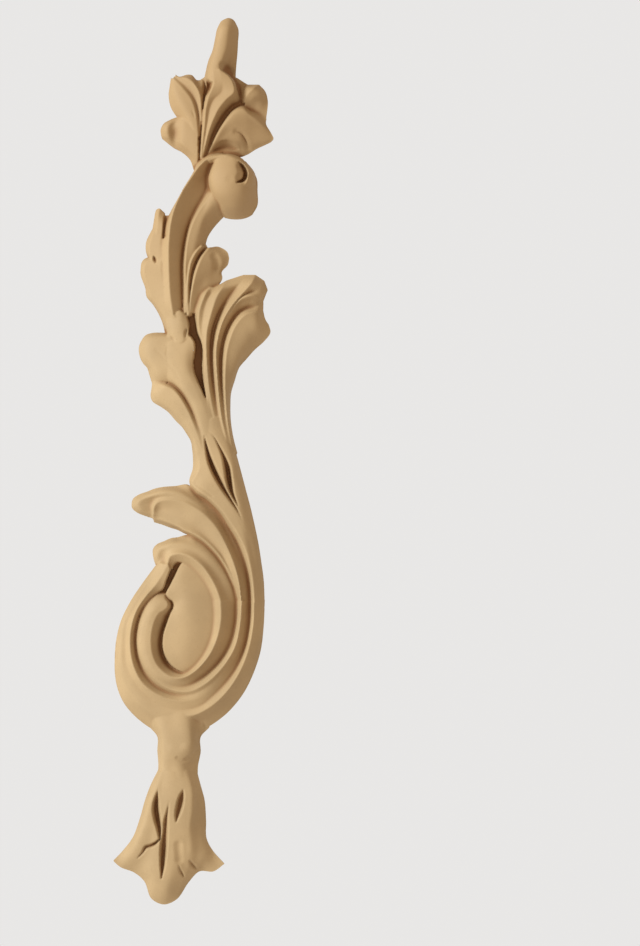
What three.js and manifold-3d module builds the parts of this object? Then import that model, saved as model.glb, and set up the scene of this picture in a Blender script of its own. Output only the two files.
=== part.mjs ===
// A tall carved applique: a finger and a cluster of leaf lobes at the top, a scroll with a bulb, a fluted
// fan, an oval cartouche wrapped by a spiral of leaf tips, and a bell flower at the foot. One solid piece.
// Millimetres. +Z runs up the applique and +X to the right seen from the front. The carving faces -Y and
// its flat back lies on Y = 0, with the origin on the back, behind the stem.
import * as THREE from "three";
import { mergeVertices } from "three/addons/utils/BufferGeometryUtils.js";
import Module from "manifold-3d";

// Driving dimensions
const height = 280; // from the finger's tip to the lip of the bell flower
const width = 47; // over the widest leaves
const reliefDepth = 12; // from the back to the top of the bulb
const edgeThickness = 1.4; // of the outline, before the carving rises from it
const bedThickness = 1.2; // of the bed that shuts the gaps between leaves
const bedInset = 0.15; // of the bed from the outline

// The carving is drawn on a leaning sheet: x to the right and y down, in the sheet's own units, and a level
// in hundredths of the relief's depth.
const sheetTip = [228, 18];
const sheetFoot = [162, 904];
const sheetOrigin = [215, 461];
const sheetWidth = 150.2; // across the drawing once it stands upright
const edge = (100 * edgeThickness) / reliefDepth;

// Fineness of the surfaces
const stationStep = 3.6; // along a rail
const softSteps = 2; // across each strip of a rounded run
const grooveStep = 3.8; // along a groove
const footing = 1; // how far each piece reaches behind the back before all are cut flush
const openAbove = 130; // level of a groove's open top
const narrowest = 0.3; // share of a groove's width left at its ends
const finest = 0.01; // no edge is left shorter than this
const closeness = 0.03; // facets that stray less than this are joined
const seam = 0.001; // corners nearer than this are one

// The bed under the top cluster of leaves.
const groundTop = {
  soft: [],
  rails: [
    [[176, 95, 14], [184, 118, 20], [190, 140, 24], [195, 164, 28], [200, 190, 24]],
    [[206, 76, 20], [205, 92, 22], [204, 130, 34], [202, 163, 40], [212, 200, 24]],
    [[236, 78, 14], [238, 100, 16], [236, 125, 22], [222, 152, 24], [222, 200, 24]],
    [[258, 92, edge], [263.5, 112, edge], [263.5, 124, edge], [240, 152, 20], [234, 200, 24]],
  ],
};

// The bed of the long slot and of the main leaf.
const groundMiddle = {
  soft: [],
  rails: [
    [
      [161, 216, 18], [159, 240, 22], [161, 260, 24], [166, 300, 26], [168.5, 322, 20], [163, 345, 14],
      [157, 386, 14], [172, 412, 24], [196, 450, 34],
    ],
    [
      [188, 214, 22], [196, 231, 22], [208, 251, 20], [206, 264, 24], [200, 285, 26], [197, 303, 26],
      [203, 330, 14], [207, 372, 14], [215, 410, 30], [222, 450, 38],
    ],
  ],
};

// The bed under the three leaf tips.
const groundLow = {
  soft: [],
  rails: [
    [
      [140, 509, 14], [148, 515.5, 18], [156, 520.8, 20], [170, 525.5, 24], [185, 531, 26],
      [200, 548, 26], [214, 568, 26], [222, 600, 26],
    ],
    [
      [140, 500, 14], [160, 494, 22], [187, 492, 26], [212, 508, 26], [232, 536, 26], [246, 575, 26],
      [250, 600, 26],
    ],
  ],
};

// The bed under the rings of the oval.
const groundRing = {
  soft: [],
  rails: [
    [
      [250, 592, 24], [248, 645, 24], [236, 680, 24], [212, 702, 24], [180, 712, 24], [150, 705, 24],
      [130, 682, 22], [122, 650, 22], [126, 618, 22], [144, 590, 22], [158, 570, 22],
    ],
    [
      [212, 590, 30], [212, 640, 30], [200, 664, 24], [186, 672, 20], [176, 670, 18], [168, 664, 16],
      [163, 656, 15], [160.5, 645, 15], [160, 632, 15], [164, 618, 16], [168, 602, 18], [170, 585, 18],
    ],
  ],
};

// The bed of the narrow slot at the upper left of the oval.
const groundSlot = {
  soft: [],
  rails: [
    [[158, 572, 18], [152, 590, 20], [150, 606, 22]],
    [[170, 566, 15], [164, 585, 14], [160, 606, 15]],
    [[188, 562, 18], [182, 584, 18], [172, 608, 18]],
  ],
};

// The finger at the top, half round, its crest left of its middle.
const finger = {
  soft: [1, 2, 3],
  rails: [
    [
      [219.5, 22.5, edge], [216, 30, edge], [214, 40, edge], [211.5, 51, edge], [207.5, 61, edge],
      [205, 71, edge], [203.5, 80, 18], [206, 92, 30],
    ],
    [
      [221.5, 20.8, 18], [219.5, 30, 42], [217.8, 40, 46], [215.3, 52, 47], [212, 62, 48],
      [209.5, 72, 50], [208, 84, 50],
    ],
    [
      [227.5, 18.4, 18], [227, 29, 47], [226, 40, 50], [224.5, 51, 51], [221, 62, 53], [217.5, 72, 56],
      [215, 84, 60],
    ],
    [
      [232, 19.8, 16], [233, 29, 34], [232.5, 40, 34], [231.5, 51, 31], [229, 62, 24], [226, 72, 22],
      [224, 84, 36],
    ],
    [
      [234.5, 22.5, edge], [237.7, 30, edge], [237.3, 42, edge], [236.7, 53, edge], [235.7, 64, edge],
      [235, 74, edge], [235, 84, 14],
    ],
  ],
};

// The middle lobe: two ribs with a hollow between, and a steep right-hand side.
const centre = {
  soft: [],
  rails: [
    [
      [207, 77, 40], [210, 86, 32], [205, 95, 36], [203, 104, 42], [201.5, 118, 45], [200.5, 138, 47],
      [199.5, 160, 44],
    ],
    [
      [212, 72, 56], [213, 84, 59], [208, 97, 60], [205, 110, 60], [204, 125, 58], [202, 142, 56],
      [200.5, 160, 48],
    ],
    [
      [219, 70, 60], [222, 84, 60], [221, 93, 54], [213, 101, 52], [209, 110, 52], [207, 122, 52],
      [204.5, 138, 51], [201, 160, 46],
    ],
    [
      [227.5, 75.5, 58], [232, 82, 60], [234, 93, 62], [226, 101, 63], [219, 109.5, 63],
      [214.5, 118, 62], [209.5, 130, 61], [205.5, 144, 57], [202, 161, 44],
    ],
    [
      [235, 83, 24], [238, 92, 18], [240, 101, 18], [232, 107, 18], [226, 114, 18], [219.5, 124, 20],
      [214, 135, 22], [209.5, 146, 26], [203.5, 162, 34],
    ],
  ],
};

// The upper left lobe, folded along its vein.
const upperLeft = {
  soft: [4],
  rails: [
    [
      [173.5, 74, 14], [178, 77, 14], [186, 75, 14], [191, 75.5, 15], [196, 80.5, 18], [202, 81, 24],
      [203, 97, 36], [201, 120, 44],
    ],
    [[175, 77, 32], [188, 80, 46], [196, 88, 52], [200, 100, 52], [200.5, 120, 50], [199.5, 138, 48]],
    [[173, 77, 26], [184, 87, 38], [193, 99, 41], [197.5, 115, 42], [198.8, 138, 44]],
    [[172, 78.5, 32], [182, 89.5, 48], [190.8, 101, 52], [195.5, 116, 52], [197.8, 138, 49]],
    [[170.5, 79, 26], [173, 92, 42], [179, 104, 48], [187, 118, 49], [196, 139, 47]],
    [
      [170, 77.5, 14], [168.5, 87, edge], [167.5, 96, edge], [169.5, 107, edge], [175.5, 117, 16],
      [188, 132, 30], [196, 142, 44],
    ],
  ],
};

// The lower left lobe, with a dished tip.
const lowerLeft = {
  soft: [1, 2],
  rails: [
    [[170, 119.5, edge], [176, 117.5, 18], [183, 118, 38], [190, 122, 44], [198, 135, 50]],
    [
      [162.5, 124, 20], [167, 125.5, 34], [174, 125, 28], [182, 127, 42], [190, 131, 47],
      [198, 142, 50],
    ],
    [
      [159.5, 130, 16], [166, 131.5, 36], [174, 133, 25], [181, 136, 40], [190, 143, 46],
      [198, 152, 48],
    ],
    [[160, 136, 16], [167, 138, 30], [174, 141, 22], [181, 145, 38], [190, 152, 42], [198, 160, 44]],
    [
      [161, 139, edge], [167, 143.8, edge], [173, 148.3, edge], [181, 152.5, edge], [189, 160, edge],
      [193, 171, 14],
    ],
  ],
};

// The upper right lobe, folded at its top corner.
const upperRight = {
  soft: [3, 4],
  rails: [
    [[242, 106, 20], [239.5, 98, 18], [237, 92, 18], [236.5, 85.5, 14]],
    [[243, 104, 24], [243.5, 95, 36], [246, 89, 38], [248, 85, 14]],
    [[243.5, 103, 28], [247.5, 95, 46], [252.5, 90, 48], [258.5, 85, 16]],
    [[244, 104, 27], [253, 98, 41], [260, 94, 38], [264.5, 91.5, edge]],
    [[244, 106, 24], [253, 105, 25], [260.5, 103, 24], [267.3, 101, edge]],
    [[243, 110, 20], [252, 113, 14], [259, 117, edge], [265.5, 120, edge]],
  ],
};

// The lower right lobe, pointed at its outer end.
const lowerRight = {
  soft: [1, 2, 3],
  rails: [
    [
      [203.5, 159, 32], [208.5, 149, 26], [213.5, 138, 22], [219.5, 127, 20], [226, 117, 20],
      [231, 111, 20], [241, 105.5, 20], [250, 109, 15], [259, 113, edge], [266, 118.5, edge],
    ],
    [
      [204.5, 159, 36], [210, 149, 43], [215.5, 138, 49], [221.5, 128, 52], [229, 118.5, 53],
      [237, 111.5, 51], [244, 111, 49], [250, 116, 44], [257, 120, 34], [265.5, 124, edge],
    ],
    [
      [205, 159.5, 37], [212, 151, 41], [219, 142, 44], [227, 134.5, 44], [238, 131.5, 42],
      [246, 126.5, 40], [254, 125, 33], [262, 128, 24], [271, 134, edge],
    ],
    [
      [206, 160, 36], [220, 153, 34], [235, 148, 32], [247, 143, 26], [258, 141, 22], [266, 141, 17],
      [273, 139, edge],
    ],
    [
      [208, 160, 34], [222, 156, 30], [238, 157.5, 22], [247, 154.5, edge], [256, 149, edge],
      [263, 145.8, edge], [270, 142.5, edge],
    ],
  ],
};

// The rim of the main scroll and the deep gouge that runs beside it.
const rim = {
  soft: [2],
  rails: [
    [
      [222, 152, 34], [208, 155, 36], [197, 163, 32], [192, 173, 14], [186, 183, edge],
      [178, 197, edge], [170, 211, 14], [164, 225, 22], [162, 250, 30], [162, 285, 30], [167, 315, 28],
    ],
    [
      [222, 156, 74], [209, 159, 74], [200, 166, 72], [190, 179, 70], [180, 194, 68], [172.5, 212, 66],
      [169, 230, 64], [168, 260, 62], [169, 290, 60], [172, 314, 56],
    ],
    [
      [219, 160, 60], [210, 165, 52], [204, 174, 46], [197, 187, 44], [188, 204, 42], [181, 225, 40],
      [178, 255, 38], [178, 285, 38], [178, 314, 44],
    ],
    [
      [219, 164, 54], [212, 176, 36], [204, 194, 28], [195, 210, 26], [188, 225, 26], [184, 240, 26],
      [181, 262, 26], [181, 287, 28], [182, 315, 36],
    ],
  ],
};

// The rim's end, rolled over the bulb.
const rimTop = {
  soft: [1],
  rails: [
    [
      [208, 158, 40], [222, 154, 20], [236, 156, 14], [245, 162, edge], [254, 173, edge],
      [256, 184, edge], [254, 197, 16],
    ],
    [
      [206, 159, 62], [222, 155, 62], [236, 157, 58], [246, 164, 60], [252, 174, 62], [252, 184, 64],
      [246, 193, 72],
    ],
    [
      [207, 162, 72], [222, 157, 78], [235, 160, 82], [243, 166, 84], [247.5, 176, 86], [246, 185, 88],
      [240, 190, 90],
    ],
    [
      [210, 165, 60], [222, 161, 74], [232, 163, 78], [239, 169, 74], [242.5, 176, 72],
      [240.5, 183, 78], [234, 187, 88],
    ],
  ],
};

// The strand below the gouge, which runs up into the bulb.
const underStrand = {
  soft: [2],
  rails: [
    [
      [213, 166, 40], [209, 182, 32], [203, 196, 28], [196, 209, 26], [189, 224, 26], [185, 240, 26],
      [182, 262, 26], [182, 287, 28], [182, 314, 36],
    ],
    [
      [219, 180, 80], [212, 193, 60], [206, 202, 50], [198, 212, 48], [191, 226, 48], [187, 240, 47],
      [184.5, 260, 46], [184.5, 285, 45], [185, 314, 46],
    ],
    [
      [220, 200, 56], [212, 208, 48], [205, 217, 44], [199, 232, 42], [194, 250, 40], [189, 268, 38],
      [187, 290, 38], [186, 314, 40],
    ],
    [
      [224, 216, 14], [218, 222, edge], [212, 229, edge], [207, 237, edge], [204, 246, 18],
      [198, 256, 24], [192, 270, 28], [189, 290, 32], [188, 314, 38],
    ],
  ],
};

// The bulb of the scroll.
const bulb = {
  soft: [1, 2, 3, 4],
  rails: [
    [[212, 164, 44], [207, 180, 36], [210, 196, 34], [218, 209, 34], [224, 218, 14]],
    [[216, 161, 72], [211.5, 178, 82], [215, 194, 78], [223, 207, 56], [229, 219, 14]],
    [[226, 159, 80], [225, 176, 98], [228, 193, 94], [234, 207, 66], [237, 219.5, 14]],
    [[236, 160, 80], [240, 175, 92], [243, 192, 86], [244, 206, 58], [244, 218.5, 14]],
    [[244, 162, 40], [251, 176, 54], [252, 192, 52], [251, 205, 34], [250, 216, 14]],
    [[246, 164, 14], [256, 178, edge], [257, 192, edge], [257, 205, edge], [252, 214.5, edge]],
  ],
};

// The three lobes of the serrated left edge.
const edgeFirst = {
  soft: [],
  rails: [
    [
      [157.5, 208.5, 10], [155, 210, 8], [152.5, 222, 8], [150.5, 233, 8], [147, 245, edge],
      [150, 262, 30],
    ],
    [
      [159, 208.8, 16], [157, 215, 28], [156, 226, 34], [155, 238, 36], [154.5, 250, 38],
      [158, 270, 42],
    ],
    [[164, 213.5, 18], [162.5, 224, 36], [162, 238, 40], [162, 252, 43], [163, 270, 47]],
  ],
};

const edgeSecond = {
  soft: [],
  rails: [
    [[153, 226, 10], [148.5, 234, 8], [145, 242, 8], [144.5, 250, 8], [147, 259, 8], [152, 272, 30]],
    [
      [156, 226, 26], [151.5, 235, 32], [148.3, 244, 32], [148, 252, 33], [151, 262, 36],
      [157, 280, 43],
    ],
    [[161, 228, 36], [160, 238, 40], [160, 248, 42], [161, 260, 44], [164, 285, 48]],
  ],
};

const edgeThird = {
  soft: [],
  rails: [
    [
      [150, 256, 10], [142, 260, 8], [139, 268, 8], [140, 277, 8], [144, 288, 8], [145.5, 297, 8],
      [152, 305, 8], [158, 315, 8], [162, 325, 8], [164, 334, 8],
    ],
    [
      [153, 257, 30], [145.5, 262, 32], [142.3, 270, 33], [144, 280, 33], [148, 290, 33],
      [150.3, 298, 33], [156, 307, 34], [162, 317, 35], [166, 326, 36], [168.5, 335, 36],
    ],
    [
      [162, 256, 44], [161, 263, 46], [161, 270, 46], [163, 285, 48], [165, 303, 48], [170, 320, 46],
      [173, 335, 46],
    ],
  ],
};

// The slope from the serrated edge up to the rim.
const rimFoot = {
  soft: [],
  rails: [
    [
      [161, 240, 36], [161, 250, 43], [162, 265, 46], [163, 285, 48], [165, 305, 48], [170, 320, 46],
      [173, 334, 46],
    ],
    [
      [169, 235, 64], [168, 250, 63], [168, 260, 62], [168.5, 280, 60], [170, 300, 58], [173, 314, 55],
      [180, 322, 52],
    ],
  ],
};

// A thin ridge between the strand and the small leaf.
const thirdRidge = {
  soft: [],
  rails: [
    [
      [200, 244, 28], [194, 251, 32], [188.5, 262, 32], [186.5, 275, 36], [185, 300, 42],
      [186, 317, 42],
    ],
    [[202, 246, 38], [196, 252, 46], [190.5, 262, 49], [188, 275, 49], [187, 300, 49], [188, 317, 45]],
    [[204, 248, 26], [198, 257, 28], [192.5, 270, 30], [190, 285, 32], [190, 300, 34], [192, 316, 36]],
  ],
};

// The small leaf on the right.
const smallLeaf = {
  soft: [2, 3],
  rails: [
    [[206, 248, 24], [198, 259, 26], [192, 274, 28], [190, 290, 34], [188, 314, 38]],
    [
      [209, 247.7, 34], [201.5, 257, 48], [196, 270, 50], [192, 285, 49], [189.5, 300, 47],
      [189, 314, 44],
    ],
    [[218, 247, 14], [216, 257, 32], [209, 270, 34], [200, 286, 36], [193, 314, 38]],
    [[226.5, 252, edge], [222, 262, 22], [215, 272, 24], [206, 287, 30], [195, 314, 32]],
    [
      [228.5, 258, edge], [227, 265, edge], [221, 272, edge], [221.5, 279, 14], [208, 297, 24],
      [197, 314, 30],
    ],
  ],
};

// The fluted fan: each flute falls away from one crest and climbs steeply to the next.
const fan = {
  soft: [10],
  rails: [
    [
      [206, 288.5, 24], [200.5, 294, 32], [196.5, 303, 34], [193.5, 311, 32], [194.5, 322, 28],
      [196.5, 333, 28], [201, 343, 30], [201.7, 356, 30], [201.3, 367, 32], [203, 386, 40],
      [206, 402, 47], [211, 420, 48], [214, 438, 46], [219, 454, 38],
    ],
    [
      [209.5, 287.5, 32], [205.5, 293, 50], [201, 303, 54], [198, 314, 55], [197.5, 328, 53],
      [200, 340, 52], [203, 352, 52], [204, 372, 52], [206, 390, 51], [209, 410, 50], [215, 437, 46],
      [221, 454, 38],
    ],
    [
      [213, 288, 34], [207.5, 298, 44], [204, 308, 48], [202, 320, 50], [201.5, 332, 52],
      [203, 343, 53], [205, 355, 53], [206, 372, 52], [207, 390, 50], [211, 412, 48], [217, 436, 45],
      [222.5, 454, 37],
    ],
    [
      [226, 280.5, 14], [221.5, 288, 48], [216, 298, 55], [212.5, 309, 59], [209, 322, 60],
      [206.5, 334, 59], [206, 352, 58], [207, 370, 56], [209, 389, 53], [213, 412, 49], [219, 435, 46],
      [224, 454, 37],
    ],
    [
      [243, 275, 14], [240, 283, 32], [232, 292, 30], [225, 302, 30], [218, 315, 29], [213, 330, 28],
      [210.5, 348, 30], [211, 368, 33], [213, 386, 36], [217, 410, 41], [221.5, 430, 44],
      [226, 453, 35],
    ],
    [
      [255, 275, 14], [252, 282, 46], [246, 290, 54], [237, 300, 58], [229.5, 309.5, 60],
      [223, 321, 60], [218.5, 335, 60], [216, 355, 60], [217, 375, 58], [218.5, 395, 56],
      [221.5, 418, 52], [225.5, 435, 46], [229.5, 454, 35],
    ],
    [
      [264, 281, edge], [262, 286.5, 28], [257, 290.5, 36], [250, 292.5, 38], [243, 296, 43],
      [236, 302.5, 48], [229.5, 312, 50], [224, 322, 50], [219.7, 335, 49], [217.3, 347, 48],
      [217.3, 365, 47], [219, 390, 48], [222.5, 418, 46], [226.3, 435, 43], [230.5, 454, 33],
    ],
    [
      [267.3, 290, edge], [260, 297, 34], [254, 296, 48], [248, 296.3, 54], [242, 298.5, 55],
      [236, 304, 54], [230.5, 312.5, 52], [225.3, 322, 49], [221, 335, 46], [219, 347, 42],
      [218.7, 360, 40], [219.8, 385, 42], [222.8, 410, 44], [227, 435, 42], [231.5, 454, 32],
    ],
    [
      [263, 301, edge], [256, 306, 26], [246, 308.5, 28], [238, 313, 30], [231.5, 321, 31],
      [226.5, 330, 31], [222.5, 342, 32], [220.5, 358, 33], [220.3, 375, 35], [221.7, 395, 39],
      [224.5, 418, 42], [228, 435, 41], [232.5, 454, 30],
    ],
    [
      [262.8, 311, edge], [256, 312.5, 42], [247, 314, 53], [240, 319.5, 57], [234, 328, 59],
      [229.5, 339, 60], [226, 353, 60], [224.7, 368, 59], [224.7, 385, 57], [225.5, 400, 54],
      [227.2, 418, 49], [230, 435, 42], [234, 454, 28],
    ],
    [
      [265, 319.5, edge], [258, 325, 40], [250, 335, 43], [243.5, 346, 43], [238, 358, 42],
      [234, 370, 40], [230, 385, 38], [228.6, 400, 36], [229.3, 418, 31], [231.7, 435, 26],
      [236, 454, 20],
    ],
    [
      [268.5, 325, edge], [270, 332.5, edge], [264, 341, edge], [254, 350, edge], [246, 359, edge],
      [238.5, 368, edge], [234, 381, edge], [230.5, 393, edge], [229.8, 406, edge], [230.2, 420, edge],
      [232.5, 436, edge], [237, 454, edge],
    ],
  ],
};

// The blunt tip that covers the end of the main scroll.
const tipLobe = {
  soft: [1, 2],
  rails: [
    [[166, 314, 40], [166, 325, 42], [167, 339, 40]],
    [[172, 314, 48], [174, 327, 54], [175, 343, 50]],
    [[179, 311, 50], [181, 325, 57], [182, 343, 54]],
    [[186, 315, 44], [188.5, 324, 50], [188, 337, 50]],
  ],
};

// The upper lobe of the broad leaf on the left of the long slot.
const broadLobe = {
  soft: [1],
  rails: [
    [
      [166, 333, 20], [158, 332.6, edge], [151, 333, edge], [144.5, 335.2, edge], [140, 341, edge],
      [137.6, 348, edge], [138.8, 357, edge], [142, 363.5, edge], [146, 368, edge], [148, 374, edge],
      [149.5, 379, edge], [151, 383.5, edge],
    ],
    [
      [172, 336, 38], [160, 336.5, 36], [151, 339.5, 35], [146, 346, 35], [147, 357, 37],
      [152, 366, 39], [157, 375, 38], [161, 382, 28],
    ],
    [[177, 338, 47], [168, 344, 46], [165, 352, 48], [167, 362, 50], [171, 373, 48], [175, 385, 32]],
  ],
};

// The broad leaf's body, which narrows towards the stem.
const midLeaf = {
  soft: [1, 2],
  rails: [
    [
      [157, 350, 30], [157, 366, 32], [161, 379, 30], [173, 386, 30], [180, 392.5, 32], [186, 402, 35],
      [191.5, 412.5, 38], [196, 422, 42], [201.5, 436, 47],
    ],
    [
      [166, 344, 45], [166, 360, 49], [171, 374, 50], [179, 385, 52], [187, 395, 53], [193, 405, 52],
      [197, 415, 51], [200, 425, 50], [204, 437, 49],
    ],
    [
      [182, 337, 50], [184, 348, 54], [184, 358, 56], [186, 370, 57], [191, 383, 57], [197, 396, 56],
      [202, 408, 54], [208, 434, 50],
    ],
    [
      [188, 334, 50], [193.5, 341, 52], [194.8, 348, 50], [193.5, 357, 47], [193, 367, 47],
      [196, 378, 50], [201, 388.5, 52], [207, 403, 50], [213, 420, 48], [218, 438, 45],
    ],
  ],
};

// Its lower lobe, which narrows into the stem.
const stemLobe = {
  soft: [1],
  rails: [
    [
      [151.2, 380.5, edge], [150.5, 388, edge], [149.5, 396, edge], [151.5, 401.5, edge],
      [160, 407, edge], [167, 412, edge], [175, 421, edge], [182, 428, edge], [187.5, 436, edge],
      [190.7, 444, edge], [192, 456, edge], [192, 468, edge], [189, 482, edge],
    ],
    [
      [153.5, 382, 20], [155, 393, 32], [164, 401, 38], [174, 411, 40], [182, 420, 41], [188, 430, 42],
      [193, 441, 43], [196, 456, 42], [197, 470, 40], [194, 484, 38],
    ],
    [
      [155, 382.5, 22], [164, 386, 42], [172, 389.5, 47], [178, 395.5, 50], [183, 403, 51],
      [188, 412, 51], [192, 421.5, 51], [196, 432, 50], [200, 444, 49], [203, 456, 48], [205, 470, 48],
      [206, 488, 46],
    ],
    [
      [155.5, 380.5, 18], [165, 382.5, 28], [174, 386, 29], [181, 392.5, 31], [187, 402, 34],
      [192.3, 412.5, 37], [196.5, 422, 41], [200.5, 433, 46], [204, 446, 47], [206, 458, 47],
      [208, 470, 47], [209, 488, 45],
    ],
  ],
};

// The stem, whose left ridge becomes the outer ring of the cartouche.
const stem = {
  soft: [3, 4],
  rails: [
    [
      [190.7, 444, edge], [192, 456, edge], [192, 468, edge], [188.5, 482, 14], [194.5, 493, 26],
      [206, 500.8, 26], [218, 512.5, 26], [227, 526, 28], [236, 541, 27], [242, 556, 26],
      [246.5, 570, 26], [249, 584, 26], [250.2, 603, 25.2],
    ],
    [
      [196, 441, 40], [198, 456, 45], [198, 470, 46], [191, 483, 43], [197, 490, 50], [208.5, 498, 51],
      [220.5, 510, 51], [229.5, 522, 51], [238, 535, 51], [245, 549, 51], [249.5, 566, 51],
      [252, 582, 51], [253.8, 603, 51.4],
    ],
    [
      [202, 426, 49], [204, 450, 49], [206, 464, 50], [211, 478, 52], [219, 491, 52], [227, 502, 52],
      [235, 515, 50], [241, 529, 49], [247, 546, 48], [251, 564, 49], [254, 582, 49],
      [255.2, 603, 49.4],
    ],
    [
      [212, 418, 50], [219, 446, 50], [226, 460, 50], [231, 475, 50], [235, 490, 49], [239, 505, 47],
      [244, 522, 45], [249, 541, 42], [253, 561, 42], [256, 581, 42], [257.2, 603, 41.2],
    ],
    [
      [224, 415, 36], [229, 446, 40], [234, 462, 40], [238, 478, 38], [242, 492, 36], [246, 507, 33],
      [250, 524, 32], [255, 543, 31], [258, 562, 31], [260.5, 581, 31], [261.7, 603, 30.2],
    ],
    [
      [228, 415, edge], [234, 447, edge], [238, 462, edge], [242, 477, edge], [246, 492, edge],
      [250, 507, edge], [254, 524, edge], [258, 543, edge], [261, 562, edge], [263.5, 581, edge],
      [264.4, 603, edge],
    ],
  ],
};

// The upper leaf tip and the outer gouge of the cartouche.
const firstTip = {
  soft: [1, 2],
  rails: [
    [
      [152, 518.5, edge], [146, 516.5, edge], [139, 514, edge], [134.5, 511.5, edge], [131, 508, edge],
      [130.5, 503, edge], [132, 498.5, edge], [138, 494.3, edge], [146, 491.5, edge],
      [153, 488.7, edge], [162, 486.8, edge], [175, 485.8, edge], [187, 484.5, 20], [195, 492.5, 24],
      [207, 501.5, 26], [219, 513.5, 26], [228, 529, 28], [236.5, 545, 27], [243, 560, 26],
      [247.5, 580, 26], [249.8, 603, 25.2],
    ],
    [
      [151, 515.5, 20], [145, 513, 24], [139, 509.5, 28], [136.5, 504.5, 30], [138.5, 500, 32],
      [146, 496.5, 36], [156, 493, 42], [168, 491, 46], [180, 492, 44], [192, 497, 38], [204, 505, 32],
      [215, 515, 30], [224, 528, 30], [232, 544, 31], [239, 561, 32], [244, 579, 33],
      [246.9, 603, 32.2],
    ],
    [
      [152, 516.8, 20], [151, 513.5, 24], [150, 509.5, 26], [150, 505.5, 28], [151.3, 501.8, 30],
      [155, 498.7, 36], [163, 497, 43], [173, 497.3, 47], [184, 500, 48], [195, 505, 46],
      [204, 511, 45], [212, 518.5, 44], [219, 527.5, 44], [228, 544, 44], [235, 562, 45],
      [239.5, 581, 46], [241.2, 603, 45.2],
    ],
    [
      [153, 517, 24], [152.6, 512.5, 38], [153.2, 507.5, 42], [155.2, 503.3, 44], [159.5, 500.8, 46],
      [167, 499.8, 49], [177, 500.8, 51], [186, 503.3, 52], [195, 508, 52], [203, 513.5, 53],
      [210, 520, 53], [217, 528.5, 53], [226, 544.5, 54], [234, 563, 54], [239.5, 582, 54],
      [241.8, 603, 53.2],
    ],
  ],
};

// The middle leaf tip.
const secondTip = {
  soft: [3],
  rails: [
    [
      [153.2, 522.2, edge], [161, 524.5, edge], [169, 527.5, edge], [177, 530, edge], [184, 533.5, 16],
      [190, 535.5, 26], [197, 539, 27], [204, 543.5, 27], [211, 550, 27], [218, 558, 27],
      [224, 567, 27], [229, 577, 27], [233.5, 588, 26], [236.6, 603, 25.2],
    ],
    [
      [152.2, 519, 24], [160, 520, 32], [168, 522.5, 38], [177, 526.5, 42], [185, 530.7, 45],
      [191, 532.8, 47], [198, 536.5, 48], [205, 541.5, 48], [212, 548, 48], [219, 556, 48],
      [225, 565.5, 46], [230, 576, 42], [234.5, 588, 34], [237.9, 603, 29.4],
    ],
    [
      [151.7, 514.5, 38], [157, 514.5, 35], [164, 516.5, 36], [172, 519.5, 39], [180, 523, 42],
      [188, 526.5, 41], [194, 528.7, 40], [201, 533, 40], [208, 539, 40], [214.5, 545.5, 40],
      [221, 553.5, 40], [227, 563.5, 41], [232, 575, 41], [236.5, 588, 40], [239.4, 603, 38],
    ],
    [
      [152.3, 508.5, 42], [158, 509, 35], [166, 509, 38], [175, 510, 42], [184, 513, 45],
      [193, 517.5, 48], [202, 523.5, 49], [210, 531, 50], [218, 540.5, 50], [225, 551, 50],
      [231, 563.5, 50], [236, 576, 50], [239, 588, 50], [241, 603, 48],
    ],
    [
      [154.6, 502.6, 44], [160, 500.5, 46], [168, 499.8, 49], [177, 500.8, 51], [186, 503.3, 52],
      [195, 508, 52], [203, 513.5, 53], [210, 520, 53], [217, 528.5, 53], [226, 544.5, 54],
      [234, 563, 54], [239.5, 582, 54], [241.8, 603, 53.2],
    ],
  ],
};

// The lower leaf tip and the start of the inner ring.
const thirdTip = {
  soft: [1, 2],
  rails: [
    [
      [155, 566, edge], [152.5, 558, edge], [152, 549, edge], [156, 544, edge], [163, 541, edge],
      [170, 538, edge], [177, 537, edge], [184, 535, 16], [190, 534.5, 24], [197, 538, 26],
      [204, 542.5, 26], [211, 549, 26], [218, 557, 26], [224, 566, 26], [229, 576, 26],
      [233.5, 588, 26], [236.6, 603, 25.2],
    ],
    [
      [157, 564, 22], [156, 556.5, 28], [158, 549.5, 32], [163, 546, 36], [170, 543.5, 39],
      [178, 543, 41], [186, 543.5, 42], [193, 545.5, 42], [200, 549, 41], [207, 554, 40],
      [214, 560.5, 38], [220, 568, 36], [226, 577, 34], [231, 588, 32], [234.8, 603, 28.7],
    ],
    [
      [160, 563, 30], [162, 557, 30], [164, 552.5, 34], [169, 550, 42], [176, 549, 45],
      [184, 549.5, 46], [191, 551.5, 46], [198, 555.5, 46], [205, 561.5, 46], [211, 568.5, 45],
      [217, 577.5, 44], [222.5, 588, 43], [227.5, 603, 42.2],
    ],
    [
      [167, 567, 44], [167.5, 561, 47], [169.5, 556, 50], [174, 553.8, 54], [182, 553.5, 57],
      [189, 556, 58], [196, 560.5, 59], [203, 567, 60], [208.5, 574.5, 60], [213.5, 583, 60],
      [217.5, 592, 60], [220.9, 603, 59.2],
    ],
    [
      [172.5, 570, 28], [173.5, 565, 33], [177, 562, 36], [184, 563.5, 37], [190, 567, 37],
      [196, 573, 37], [202, 580.5, 37], [207, 589, 37], [210.5, 597, 37], [212.1, 603, 36.2],
    ],
  ],
};

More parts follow.
